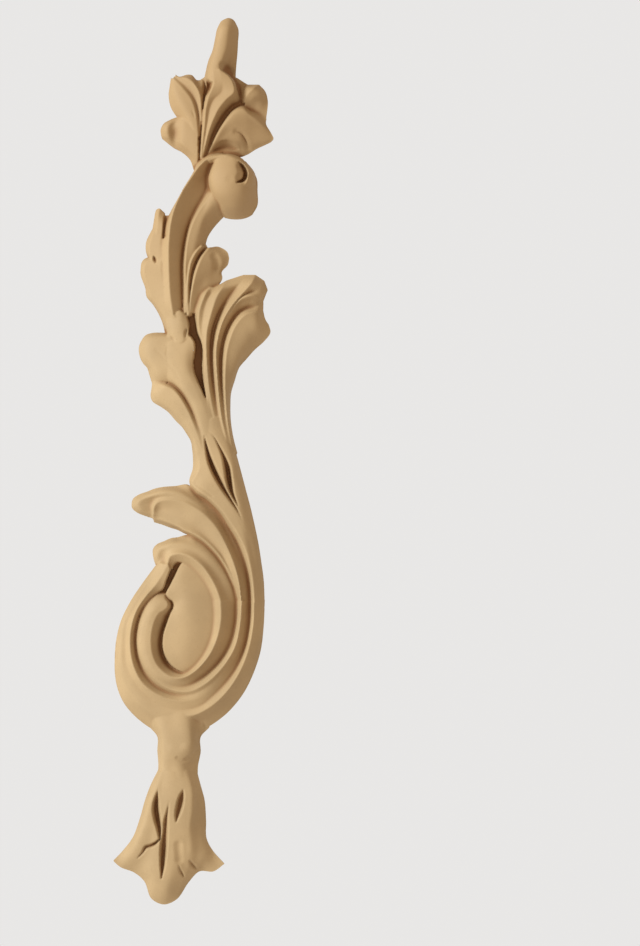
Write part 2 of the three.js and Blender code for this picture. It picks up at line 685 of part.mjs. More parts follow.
// The outer band of the cartouche, from the right side under the foot and up the left side.
const band = {
  soft: [1, 2],
  rails: [
    [
      [264.5, 600, edge], [263.5, 625, edge], [260.5, 650, edge], [254, 671, edge], [245, 690, edge],
      [235, 704, edge], [223, 716, edge], [205, 728, 14], [180, 737, 20], [160, 733, 14],
      [146, 725.5, edge], [133, 715, edge], [123, 703, edge], [117, 690, edge], [114, 676, edge],
      [113.5, 660, edge], [115, 640, edge], [120, 620, edge], [130, 600, edge], [140, 585, edge],
      [154, 566, edge],
    ],
    [
      [261.5, 600, 31], [260.5, 625, 31], [257, 649, 31], [250, 669, 31], [240.5, 686.5, 30],
      [229.5, 699.5, 29], [216, 711, 27], [203, 719, 27], [180, 726, 28], [162, 724, 27],
      [150, 717.5, 26], [137, 708, 25], [127, 697, 24], [120.5, 685, 22], [116.5, 668, 22],
      [116.5, 655, 22], [117.5, 641, 22], [121, 621, 22], [131, 601, 22], [141, 586, 22],
      [157, 564, 26],
    ],
    [
      [257, 600, 42], [256, 624, 42], [252.5, 647, 42], [245.5, 668, 42], [234.5, 686.5, 41],
      [221, 701, 40], [208, 711.5, 39], [198, 716, 39], [180, 720, 40], [163, 718, 39],
      [152, 712.5, 38], [140, 704, 36], [130, 692, 34], [122.5, 680, 32], [118.5, 665, 31],
      [117.5, 655, 31], [118.5, 641, 31], [122, 621, 31], [132, 602, 31], [142, 587, 31],
      [159, 562, 34],
    ],
    [
      [253.5, 600, 52], [253, 622, 52], [249, 645, 52], [241.5, 666, 52], [231, 684.5, 52],
      [217.5, 700, 50], [205, 709, 50], [194, 714, 50], [180, 714, 46], [164, 712, 43], [154, 707, 41],
      [142, 698.5, 40], [131.5, 686, 38], [124, 672, 36], [120.5, 657, 36], [120.5, 645, 35],
      [124, 622, 35], [134, 604, 35], [145, 588, 35], [161, 562, 40],
    ],
    [
      [250, 600, 26], [249, 622, 27], [245, 645, 28], [236.5, 666, 30], [226, 681.5, 32],
      [213, 695, 36], [199, 705.5, 40], [180, 709, 44], [163, 706, 43], [147, 696, 41], [134, 682, 40],
      [126, 665, 38], [124.5, 644, 37], [127, 622, 37], [137, 604, 37], [148, 587, 38], [163, 563, 45],
    ],
    [
      [246.5, 600, 33], [245, 622, 34], [241, 645, 35], [232, 664, 37], [221, 679, 40], [209, 690, 43],
      [196, 698, 46], [182, 700, 50], [168, 698, 53], [154, 692, 54], [141, 681, 54], [133, 665, 54],
      [129.5, 645, 54], [131, 625, 54], [137, 607, 53], [146, 594, 52], [154, 585, 52], [161, 575, 52],
      [168, 563, 51],
    ],
    [
      [243, 600, 46], [241.5, 622, 46], [237, 645, 46], [228, 663, 46], [217, 677, 46], [204, 688, 46],
      [192, 693.5, 44], [180, 694.5, 40], [168, 692, 36], [156, 686, 34], [145, 675, 33],
      [137.5, 660, 32], [134.5, 643, 32], [136, 625, 33], [141, 610, 34], [149, 599.5, 36],
      [156, 593, 38], [162.5, 589, 42], [166, 580, 49], [170.5, 569, 49],
    ],
  ],
};

// The inner ring, which turns in to a round end beside the field.
const ring = {
  soft: [3],
  rails: [
    [
      [243, 600, 46], [241.5, 622, 46], [237, 645, 46], [228, 663, 46], [217, 677, 46], [204, 688, 46],
      [192, 693.5, 44], [180, 694.5, 40], [168, 692, 36], [156, 686, 34], [145, 675, 33],
      [137.5, 660, 32], [134.5, 643, 32], [136, 625, 33], [141, 610, 34], [148, 600, 36],
      [154, 594.5, 30],
    ],
    [
      [241.5, 600, 54], [240, 622, 54], [235, 645, 54], [226, 661, 54], [214, 675, 54], [201, 685, 53],
      [190, 690, 51], [180, 690.5, 50], [169, 688, 49], [158, 681.5, 49], [148, 671, 49],
      [140.7, 657, 49], [137.6, 642, 49], [139.2, 626, 49], [143.6, 613, 48], [149.3, 603, 47],
      [155, 596.5, 42], [157.5, 592, 30],
    ],
    [
      [236, 600, 26], [235, 622, 26], [230, 642, 26], [221, 658, 27], [209, 671, 30], [197, 680, 34],
      [187, 685, 40], [177, 686, 44], [167, 684, 47], [157, 678, 50], [149, 668, 53], [143, 655, 54],
      [140.4, 641, 54], [142, 627, 54], [145.7, 615, 54], [150.8, 606, 53], [157, 598, 46],
      [160, 591.5, 28],
    ],
    [
      [228, 600, 42], [227, 622, 42], [222, 640, 42], [214, 654, 43], [203, 666, 45], [193, 675, 48],
      [183, 680, 51], [174, 681, 53], [165, 679, 54], [156, 673, 56], [150, 664, 57], [146, 653, 57],
      [144.5, 640, 57], [146, 628, 57], [149.5, 617, 57], [155, 607, 56], [160.5, 598.5, 47],
      [162.5, 591.5, 26],
    ],
    [
      [220, 600, 60], [220.5, 618, 60], [216.5, 638, 60], [208.5, 655, 60], [197.5, 668, 60],
      [185, 675.5, 60], [173, 676.5, 60], [163, 671, 59], [156, 663, 58], [151.8, 652, 58],
      [150.6, 640, 58], [151.8, 628, 58], [154.7, 618.5, 57], [158.5, 612.5, 56], [163, 610, 54],
      [167, 606.5, 52], [167, 601.5, 50], [164, 598, 45], [165, 591.5, 24],
    ],
    [
      [211.3, 600, 37], [212.3, 617, 37], [210, 636, 37], [203.5, 652, 37], [194, 664.5, 36],
      [184, 671.5, 32], [176, 670, 26], [169.3, 665.5, 21], [164.3, 659, 17], [161.5, 650.5, 14],
      [161, 641, 14], [162.7, 632, 14], [165.5, 624, 14], [168.5, 617, 16], [171.5, 611, 20],
      [173, 605.5, 22], [171, 599.5, 22], [168, 596, 20], [168, 591, 16],
    ],
  ],
};

// The oval field, slightly domed.
const field = {
  soft: [1],
  rails: [
    [
      [176.5, 570, 42], [173, 577, 42], [169, 585, 42], [165.5, 593, 42], [168, 598, 41],
      [172, 601.5, 41], [172.7, 605.5, 41], [169.5, 613, 42], [166, 623, 43], [162.8, 633, 43],
      [161.8, 642, 43], [163, 651, 43], [167, 660, 43], [172, 666, 42], [179, 670.5, 41],
      [188, 673.5, 37],
    ],
    [
      [180, 564, 36], [181, 572, 43], [182, 585, 47], [186, 600, 50], [188, 620, 51], [187, 640, 50],
      [186, 655, 47], [189, 673.5, 37],
    ],
    [
      [186, 558, 34], [198, 568, 38], [206, 577, 38], [214, 590, 38], [217.5, 605, 38], [217, 622, 38],
      [214, 638, 38], [207, 653, 38], [198, 665, 38], [190, 673.5, 37],
    ],
  ],
};

// The neck below the cartouche.
const neck = {
  soft: [1, 2, 3, 4],
  rails: [
    [[149, 727, edge], [156.5, 736.5, edge], [156.5, 750, edge], [157.5, 764, edge], [157, 774, edge]],
    [[156, 714, 36], [162, 737, 42], [162, 752, 42], [162, 764, 41], [162, 777, 44]],
    [[170, 712, 43], [175, 737, 51], [175, 752, 51], [172, 764, 47], [172, 777, 50]],
    [[186, 713, 46], [190, 736, 50], [190, 750, 49], [181, 763, 45], [183, 777, 50]],
    [[198, 717, 28], [197, 736, 26], [197, 752, 26], [191, 764, 26], [192.5, 777, 32]],
    [[209, 727, edge], [200, 737, edge], [200, 752, edge], [197.5, 765, edge], [197, 775, edge]],
  ],
};

// The bell flower, with three flared petals.
const bell = {
  soft: [1, 2, 3, 4, 5, 6, 7, 8, 9],
  rails: [
    [
      [157.5, 769, edge], [150, 784, edge], [144, 800, edge], [139.5, 816, edge], [132, 836.5, edge],
      [122, 850, edge], [112, 860.5, edge],
    ],
    [
      [160, 770, 40], [154.5, 787, 46], [148.5, 803, 48], [144, 820, 47], [138, 836, 42],
      [130.5, 852, 32], [120, 867, edge],
    ],
    [
      [165, 770, 46], [161, 790, 51], [157, 810, 51], [153, 830, 50], [149, 846, 44], [143, 860, 34],
      [133, 872, edge],
    ],
    [
      [168, 770, 48], [166, 790, 54], [163, 812, 54], [159, 835, 53], [155, 856, 48], [150, 872, 38],
      [143.5, 881, edge],
    ],
    [
      [172, 770, 49], [171, 790, 56], [169, 812, 57], [166, 835, 57], [163, 858, 53], [158, 881, 40],
      [150.5, 898, edge],
    ],
    [
      [177, 770, 48], [178, 790, 57], [177, 812, 58], [175, 835, 58], [173, 860, 54], [167.5, 883, 42],
      [163, 904, edge],
    ],
    [
      [182, 770, 46], [186, 790, 56], [186, 812, 57], [185, 835, 56], [184, 855, 50], [182, 875, 36],
      [176.5, 898.5, edge],
    ],
    [
      [186, 770, 42], [192, 789, 52], [192.5, 808, 53], [190.5, 828, 53], [192, 848, 49],
      [193, 862, 37], [188, 882, edge],
    ],
    [
      [190, 770, 32], [195.5, 788, 38], [196.5, 808, 38], [196, 828, 38], [199, 845, 37],
      [202, 859, 30], [199, 871, edge],
    ],
    [
      [194, 770, 20], [198.5, 785, 24], [201.5, 800, 24], [201.5, 820, 24], [203.5, 838, 25],
      [208, 852, 23], [213, 871, edge],
    ],
    [
      [196, 770, edge], [200, 785, edge], [204, 800, edge], [205.5, 820, edge], [206, 838, edge],
      [212, 850, edge], [224, 863.5, edge],
    ],
  ],
};

const leaves = [
  groundTop,
  groundMiddle,
  groundLow,
  groundRing,
  groundSlot,
  finger,
  centre,
  upperLeft,
  lowerLeft,
  upperRight,
  lowerRight,
  rim,
  rimTop,
  underStrand,
  bulb,
  edgeFirst,
  edgeSecond,
  edgeThird,
  rimFoot,
  thirdRidge,
  smallLeaf,
  fan,
  tipLobe,
  broadLobe,
  midLeaf,
  stemLobe,
  stem,
  firstTip,
  secondTip,
  thirdTip,
  band,
  ring,
  field,
  neck,
  bell,
];

// The undercut slots and creases: each floor's path, half its width, and how far its sides rise.
const grooves = [
  {
    halfWidth: 3.6,
    rise: 16,
    path: [[205, 80, 26], [207.5, 86, 20], [205.8, 92, 26], [203.7, 99, 38]],
  },
  {
    halfWidth: 3.2,
    rise: 14,
    path: [[236, 132.5, 38], [241, 135, 32], [245, 141, 24], [247.5, 148, 18], [248.5, 154, edge]],
  },
  {
    halfWidth: 7,
    rise: 12,
    path: [[214, 151, 32], [226, 148, 26], [238, 150, 24]],
  },
  {
    halfWidth: 2.4,
    rise: 20,
    path: [
      [238.5, 164, 66], [242.5, 168, 58], [245, 173, 54], [245, 178, 54], [242.5, 182, 60],
      [237, 184, 70],
    ],
  },
  {
    halfWidth: 2.2,
    rise: 12,
    path: [[165, 213, 14], [164.3, 221, 22], [163.7, 231, 32], [163, 242, 41]],
  },
  {
    halfWidth: 3.2,
    rise: 30,
    path: [
      [203.5, 434, 46], [205, 442, 34], [208, 455, 22], [211, 464, 16], [216, 475, 18],
      [222.5, 487, 24], [230, 499, 32], [237, 510, 38], [243, 522, 44],
    ],
  },
  {
    halfWidth: 3.4,
    rise: 30,
    path: [
      [207, 431.5, 48], [213, 436, 44], [219, 447, 38], [224, 458, 28], [227, 468, 16],
      [228.8, 480, 14], [231.5, 492, 22], [236.5, 503, 36], [239, 508, 44],
    ],
  },
  {
    halfWidth: 3.6,
    rise: 24,
    path: [
      [157.5, 788, 46], [156, 798, 28], [155.5, 808, 22], [157, 818, 22], [159, 828, 26],
      [159.5, 839, 34],
    ],
  },
  {
    halfWidth: 3.8,
    rise: 22,
    path: [
      [169, 800, 52], [167, 810, 46], [165.3, 820, 38], [164.3, 832, 32], [163.3, 845, 28],
      [162.5, 857, 26], [162, 866, 26], [161, 877, 32],
    ],
  },
  {
    halfWidth: 3.4,
    rise: 14,
    path: [[183, 788, 50], [181, 797, 38], [179, 806, 38], [177, 814, 42], [176, 820, 48]],
  },
  {
    halfWidth: 2.6,
    rise: 14,
    path: [[178, 863, 46], [180, 869, 36], [183.5, 876, 24]],
  },
  {
    halfWidth: 4,
    rise: 16,
    path: [[189, 859, 38], [193, 865, 24], [198, 871, edge]],
  },
  {
    halfWidth: 4.2,
    rise: 16,
    path: [[202, 720, 26], [204, 725, 14], [206, 729, 10]],
  },
];

const acrossSheet = sheetTip[0] - sheetFoot[0];
const downSheet = sheetFoot[1] - sheetTip[1];
const lean = Math.atan2(acrossSheet, downSheet);
const unit = height / Math.hypot(acrossSheet, downSheet);
const stretch = width / (sheetWidth * unit);

// A point of the sheet, stood upright in the applique's frame
function place([x, y, level]) {
  const right = (x - sheetOrigin[0]) * unit;
  const up = (sheetOrigin[1] - y) * unit;
  const across = right * Math.cos(lean) - up * Math.sin(lean);
  const along = right * Math.sin(lean) + up * Math.cos(lean);
  return new THREE.Vector3(across * stretch, (-level / 100) * reliefDepth, along);
}

const wasm = await Module();
wasm.setup();

// A manifold solid from a closed geometry
function solidFrom(geometry) {
  const bare = new THREE.BufferGeometry();
  bare.setAttribute("position", geometry.attributes.position);
  bare.setIndex(geometry.index);
  const merged = mergeVertices(bare, seam);
  return new wasm.Manifold(
    new wasm.Mesh({
      numProp: 3,
      vertProperties: merged.attributes.position.array,
      triVerts: new Uint32Array(merged.index.array),
    }),
  );
}

// A geometry from a list of corners and the triangles between them
function geometryFrom(corners, triangles) {
  const geometry = new THREE.BufferGeometry().setFromPoints(corners);
  geometry.setIndex(triangles);
  return geometry;
}

// The section across the rails at one station: straight at sharp rails, rounded through soft ones
function section(points, soft) {
  const out = [points[0]];
  let start = 0;
  while (start < points.length - 1) {
    let end = start + 1;
    while (end < points.length - 1 && soft.includes(end)) {
      end += 1;
    }
    const strips = end - start;
    if (strips === 1) {
      out.push(points[end]);
    } else {
      const curve = new THREE.CatmullRomCurve3(points.slice(start, end + 1));
      out.push(...curve.getPoints(strips * softSteps).slice(1));
    }
    start = end;
  }
  return out;
}

// A leaf: a sheet drawn over its rails, closed by straight walls down past the back
function leafSolid({ rails, soft }) {
  const curves = rails.map((rail) => new THREE.CatmullRomCurve3(rail.map(place)));
  const longest = Math.max(...curves.map((curve) => curve.getLength()));
  const stations = Math.max(3, Math.ceil(longest / stationStep));
  const lines = curves.map((curve) => curve.getSpacedPoints(stations));
  const rows = [];
  for (let i = 0; i <= stations; i++) {
    rows.push(section(lines.map((line) => line[i]), soft));
  }
  const columns = rows[0].length;
  const top = rows.flat();
  const below = top.map((point) => new THREE.Vector3(point.x, footing, point.z));
  const triangles = [];
  const quad = (a, b, c, d) => triangles.push(a, b, c, a, c, d);
  for (let i = 0; i < stations; i++) {
    for (let j = 0; j < columns - 1; j++) {
      const a = i * columns + j;
      const b = a + 1;
      const c = b + columns;
      const d = a + columns;
      quad(a, d, c, b);
      quad(a + top.length, b + top.length, c + top.length, d + top.length);
    }
  }
  const ring = [];
  for (let j = 0; j < columns - 1; j++) {
    ring.push(j);
  }
  for (let i = 0; i < stations; i++) {
    ring.push(i * columns + columns - 1);
  }
  for (let j = columns - 1; j > 0; j--) {
    ring.push(stations * columns + j);
  }
  for (let i = stations; i > 0; i--) {
    ring.push(i * columns);
  }
  ring.forEach((a, k) => {
    const b = ring[(k + 1) % ring.length];
    quad(a, b, b + top.length, a + top.length);
  });
  return outward([...top, ...below], triangles);
}

// The same solid, turned right side out where its rails run the other way round
function outward(corners, triangles) {
  const made = solidFrom(geometryFrom(corners, triangles));
  if (made.volume() > 0) {
    return made;
  }
  const turned = [];
  for (let i = 0; i < triangles.length; i += 3) {
    turned.push(triangles[i], triangles[i + 2], triangles[i + 1]);
  }
  return solidFrom(geometryFrom(corners, turned));
}

// A groove cutter: a V along its path, open towards the front and narrowing at both ends
function grooveSolid({ path, halfWidth, rise }) {
  const curve = new THREE.CatmullRomCurve3(path.map(place));
  const stations = Math.max(4, Math.ceil(curve.getLength() / grooveStep));
  const floors = curve.getSpacedPoints(stations);
  const lift = (-rise / 100) * reliefDepth;
  const open = (-openAbove / 100) * reliefDepth;
  const corners = [];
  floors.forEach((floor, i) => {
    const ahead = floors[Math.min(i + 1, stations)];
    const behind = floors[Math.max(i - 1, 0)];
    const side = new THREE.Vector3(ahead.z - behind.z, 0, behind.x - ahead.x).normalize();
    const share = Math.max(narrowest, Math.sqrt(Math.sin((Math.PI * i) / stations)));
    side.multiplyScalar(halfWidth * unit * share);
    const shoulder = floor.y + lift;
    corners.push(floor);
    corners.push(new THREE.Vector3(floor.x + side.x, shoulder, floor.z + side.z));
    corners.push(new THREE.Vector3(floor.x + side.x, open, floor.z + side.z));
    corners.push(new THREE.Vector3(floor.x - side.x, open, floor.z - side.z));
    corners.push(new THREE.Vector3(floor.x - side.x, shoulder, floor.z - side.z));
  });
  const sides = 5;
  const triangles = [];
  for (let i = 0; i < stations; i++) {
    for (let j = 0; j < sides; j++) {
      const a = i * sides + j;
      const b = i * sides + ((j + 1) % sides);
      triangles.push(a, b, b + sides, a, b + sides, a + sides);
    }
  }
  const last = stations * sides;
  for (let j = 1; j < sides - 1; j++) {
    triangles.push(0, j + 1, j);
    triangles.push(last, last + j, last + j + 1);
  }
  return outward(corners, triangles);
}

// The outer edge of a solid's flat back: the widest loop round the triangles that lie on it
function backOutline(solid) {
  const mesh = solid.getMesh();
  const sides = new Map();
  for (let i = 0; i < mesh.numTri; i++) {
    const [a, b, c] = mesh.verts(i);
    if ([a, b, c].every((corner) => mesh.position(corner)[1] > -seam)) {
      for (const [from, to] of [[a, b], [b, c], [c, a]]) {
        sides.set(`${from} ${to}`, [from, to]);
      }
    }
  }
  const ahead = new Map([...sides.values()].filter(([from, to]) => !sides.has(`${to} ${from}`)));
  const loops = [];
  while (ahead.size > 0) {
    const loop = [];
    let [corner] = ahead.keys();
    while (ahead.has(corner)) {
      const [x, , z] = mesh.position(corner);
      loop.push(new THREE.Vector2(x, z));
      const next = ahead.get(corner);
      ahead.delete(corner);
      corner = next;
    }
    loops.push(loop);
  }
  const spread = (loop) => Math.abs(THREE.ShapeUtils.area(loop));
  return loops.reduce((widest, loop) => (spread(loop) > spread(widest) ? loop : widest));
}

// A drawing's plane laid on the back: its y runs up and its depth runs towards the front
const ontoBack = new THREE.Matrix4().makeBasis(
  new THREE.Vector3(1, 0, 0),
  new THREE.Vector3(0, 0, 1),
  new THREE.Vector3(0, -1, 0),
);

// A thin bed inside the outline, so that no gap between two leaves goes right through
function bedBehind(solid) {
  const bed = new THREE.ExtrudeGeometry(new THREE.Shape(backOutline(solid)), {
    depth: footing + bedThickness,
    bevelSegments: 0,
    bevelSize: 0,
    bevelThickness: 0,
    bevelOffset: -bedInset,
  });
  return solidFrom(bed.translate(0, 0, -footing).applyMatrix4(ontoBack));
}

// Cuts a solid flush at the back
function flush(solid) {
  return solid.trimByPlane([0, -1, 0], 0);
}

const leafwork = wasm.Manifold.union(leaves.map(leafSolid))
  .setTolerance(finest)
  .subtract(wasm.Manifold.union(grooves.map(grooveSolid)));
const bedded = flush(leafwork.add(bedBehind(flush(leafwork))));
const carved = bedded.asOriginal().simplify(closeness).getMesh();
const corners = [];
for (let i = 0; i < carved.numVert; i++) {
  corners.push(new THREE.Vector3(...carved.position(i)));
}
const carving = solidFrom(geometryFrom(corners, [...carved.triVerts]));

// The largest body is the applique: a sliver cut free by a groove is dropped
const body = carving.decompose().reduce((best, piece) => (piece.volume() > best.volume() ? piece : best));
const mesh = body.getMesh();
const geometry = new THREE.BufferGeometry();
geometry.setAttribute("position", new THREE.BufferAttribute(mesh.vertProperties, mesh.numProp));
geometry.setIndex(new THREE.BufferAttribute(mesh.triVerts, 1));

const wood = new THREE.MeshStandardMaterial({
  color: "#cfa97c",
  roughness: 0.78,
  metalness: 0,
});

const applique = new THREE.Mesh(geometry.toNonIndexed(), wood);
applique.geometry.computeVertexNormals();
applique.name = "applique";

const group = new THREE.Group();
group.add(applique);

export default group;
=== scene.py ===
import math
import bpy
import bmesh
import numpy as np
from mathutils import Matrix, Vector
from mathutils.bvhtree import BVHTree


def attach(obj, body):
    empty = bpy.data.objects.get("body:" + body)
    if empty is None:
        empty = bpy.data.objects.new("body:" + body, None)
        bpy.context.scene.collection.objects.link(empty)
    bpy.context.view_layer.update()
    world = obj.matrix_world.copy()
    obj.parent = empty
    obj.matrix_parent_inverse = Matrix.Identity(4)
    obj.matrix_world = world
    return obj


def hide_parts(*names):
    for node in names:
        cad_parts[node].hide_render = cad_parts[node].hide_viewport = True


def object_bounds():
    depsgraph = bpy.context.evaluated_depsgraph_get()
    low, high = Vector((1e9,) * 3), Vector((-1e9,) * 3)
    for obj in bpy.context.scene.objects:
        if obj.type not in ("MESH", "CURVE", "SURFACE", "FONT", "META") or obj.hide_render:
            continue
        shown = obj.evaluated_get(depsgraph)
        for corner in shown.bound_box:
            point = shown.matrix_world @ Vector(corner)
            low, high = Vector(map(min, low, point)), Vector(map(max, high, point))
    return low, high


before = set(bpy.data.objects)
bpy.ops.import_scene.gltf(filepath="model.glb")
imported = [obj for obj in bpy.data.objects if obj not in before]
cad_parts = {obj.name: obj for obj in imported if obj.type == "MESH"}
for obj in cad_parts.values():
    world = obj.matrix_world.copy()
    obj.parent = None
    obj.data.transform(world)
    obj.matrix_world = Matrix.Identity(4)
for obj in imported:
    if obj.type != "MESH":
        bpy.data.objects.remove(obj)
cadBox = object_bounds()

# A tall wood applique, carved on one side and flat behind, standing upright.
# +Z runs up it, +X to the right from the front, the carving faces -Y and the back lies on Y = 0.

sheet = {                      # the leaning sheet that the carving is drawn on: x right, y down
    "height": 0.280,           # metres, from the finger's tip to the lip of the bell flower
    "width": 0.047,
    "reliefDepth": 0.012,      # a level is a hundredth of this
    "edgeThickness": 0.0014,
    "tip": (228, 18),          # in the sheet's own units from here on
    "foot": (162, 904),
    "origin": (215, 461),
    "drawnWidth": 150.2,
}
acrossSheet = sheet["tip"][0] - sheet["foot"][0]
downSheet = sheet["foot"][1] - sheet["tip"][1]
lean = math.atan2(acrossSheet, downSheet)
unit = sheet["height"] / math.hypot(acrossSheet, downSheet)
stretch = sheet["width"] / (sheet["drawnWidth"] * unit)
edge = 100 * sheet["edgeThickness"] / sheet["reliefDepth"]


# points of the sheet, stood upright, in metres
def placeOnApplique(points):
    points = np.asarray(points, float)
    right = (points[..., 0] - sheet["origin"][0]) * unit
    up = (sheet["origin"][1] - points[..., 1]) * unit
    across = right * math.cos(lean) - up * math.sin(lean)
    along = right * math.sin(lean) + up * math.cos(lean)
    return np.stack([across * stretch, -points[..., 2] / 100 * sheet["reliefDepth"], along], axis=-1)


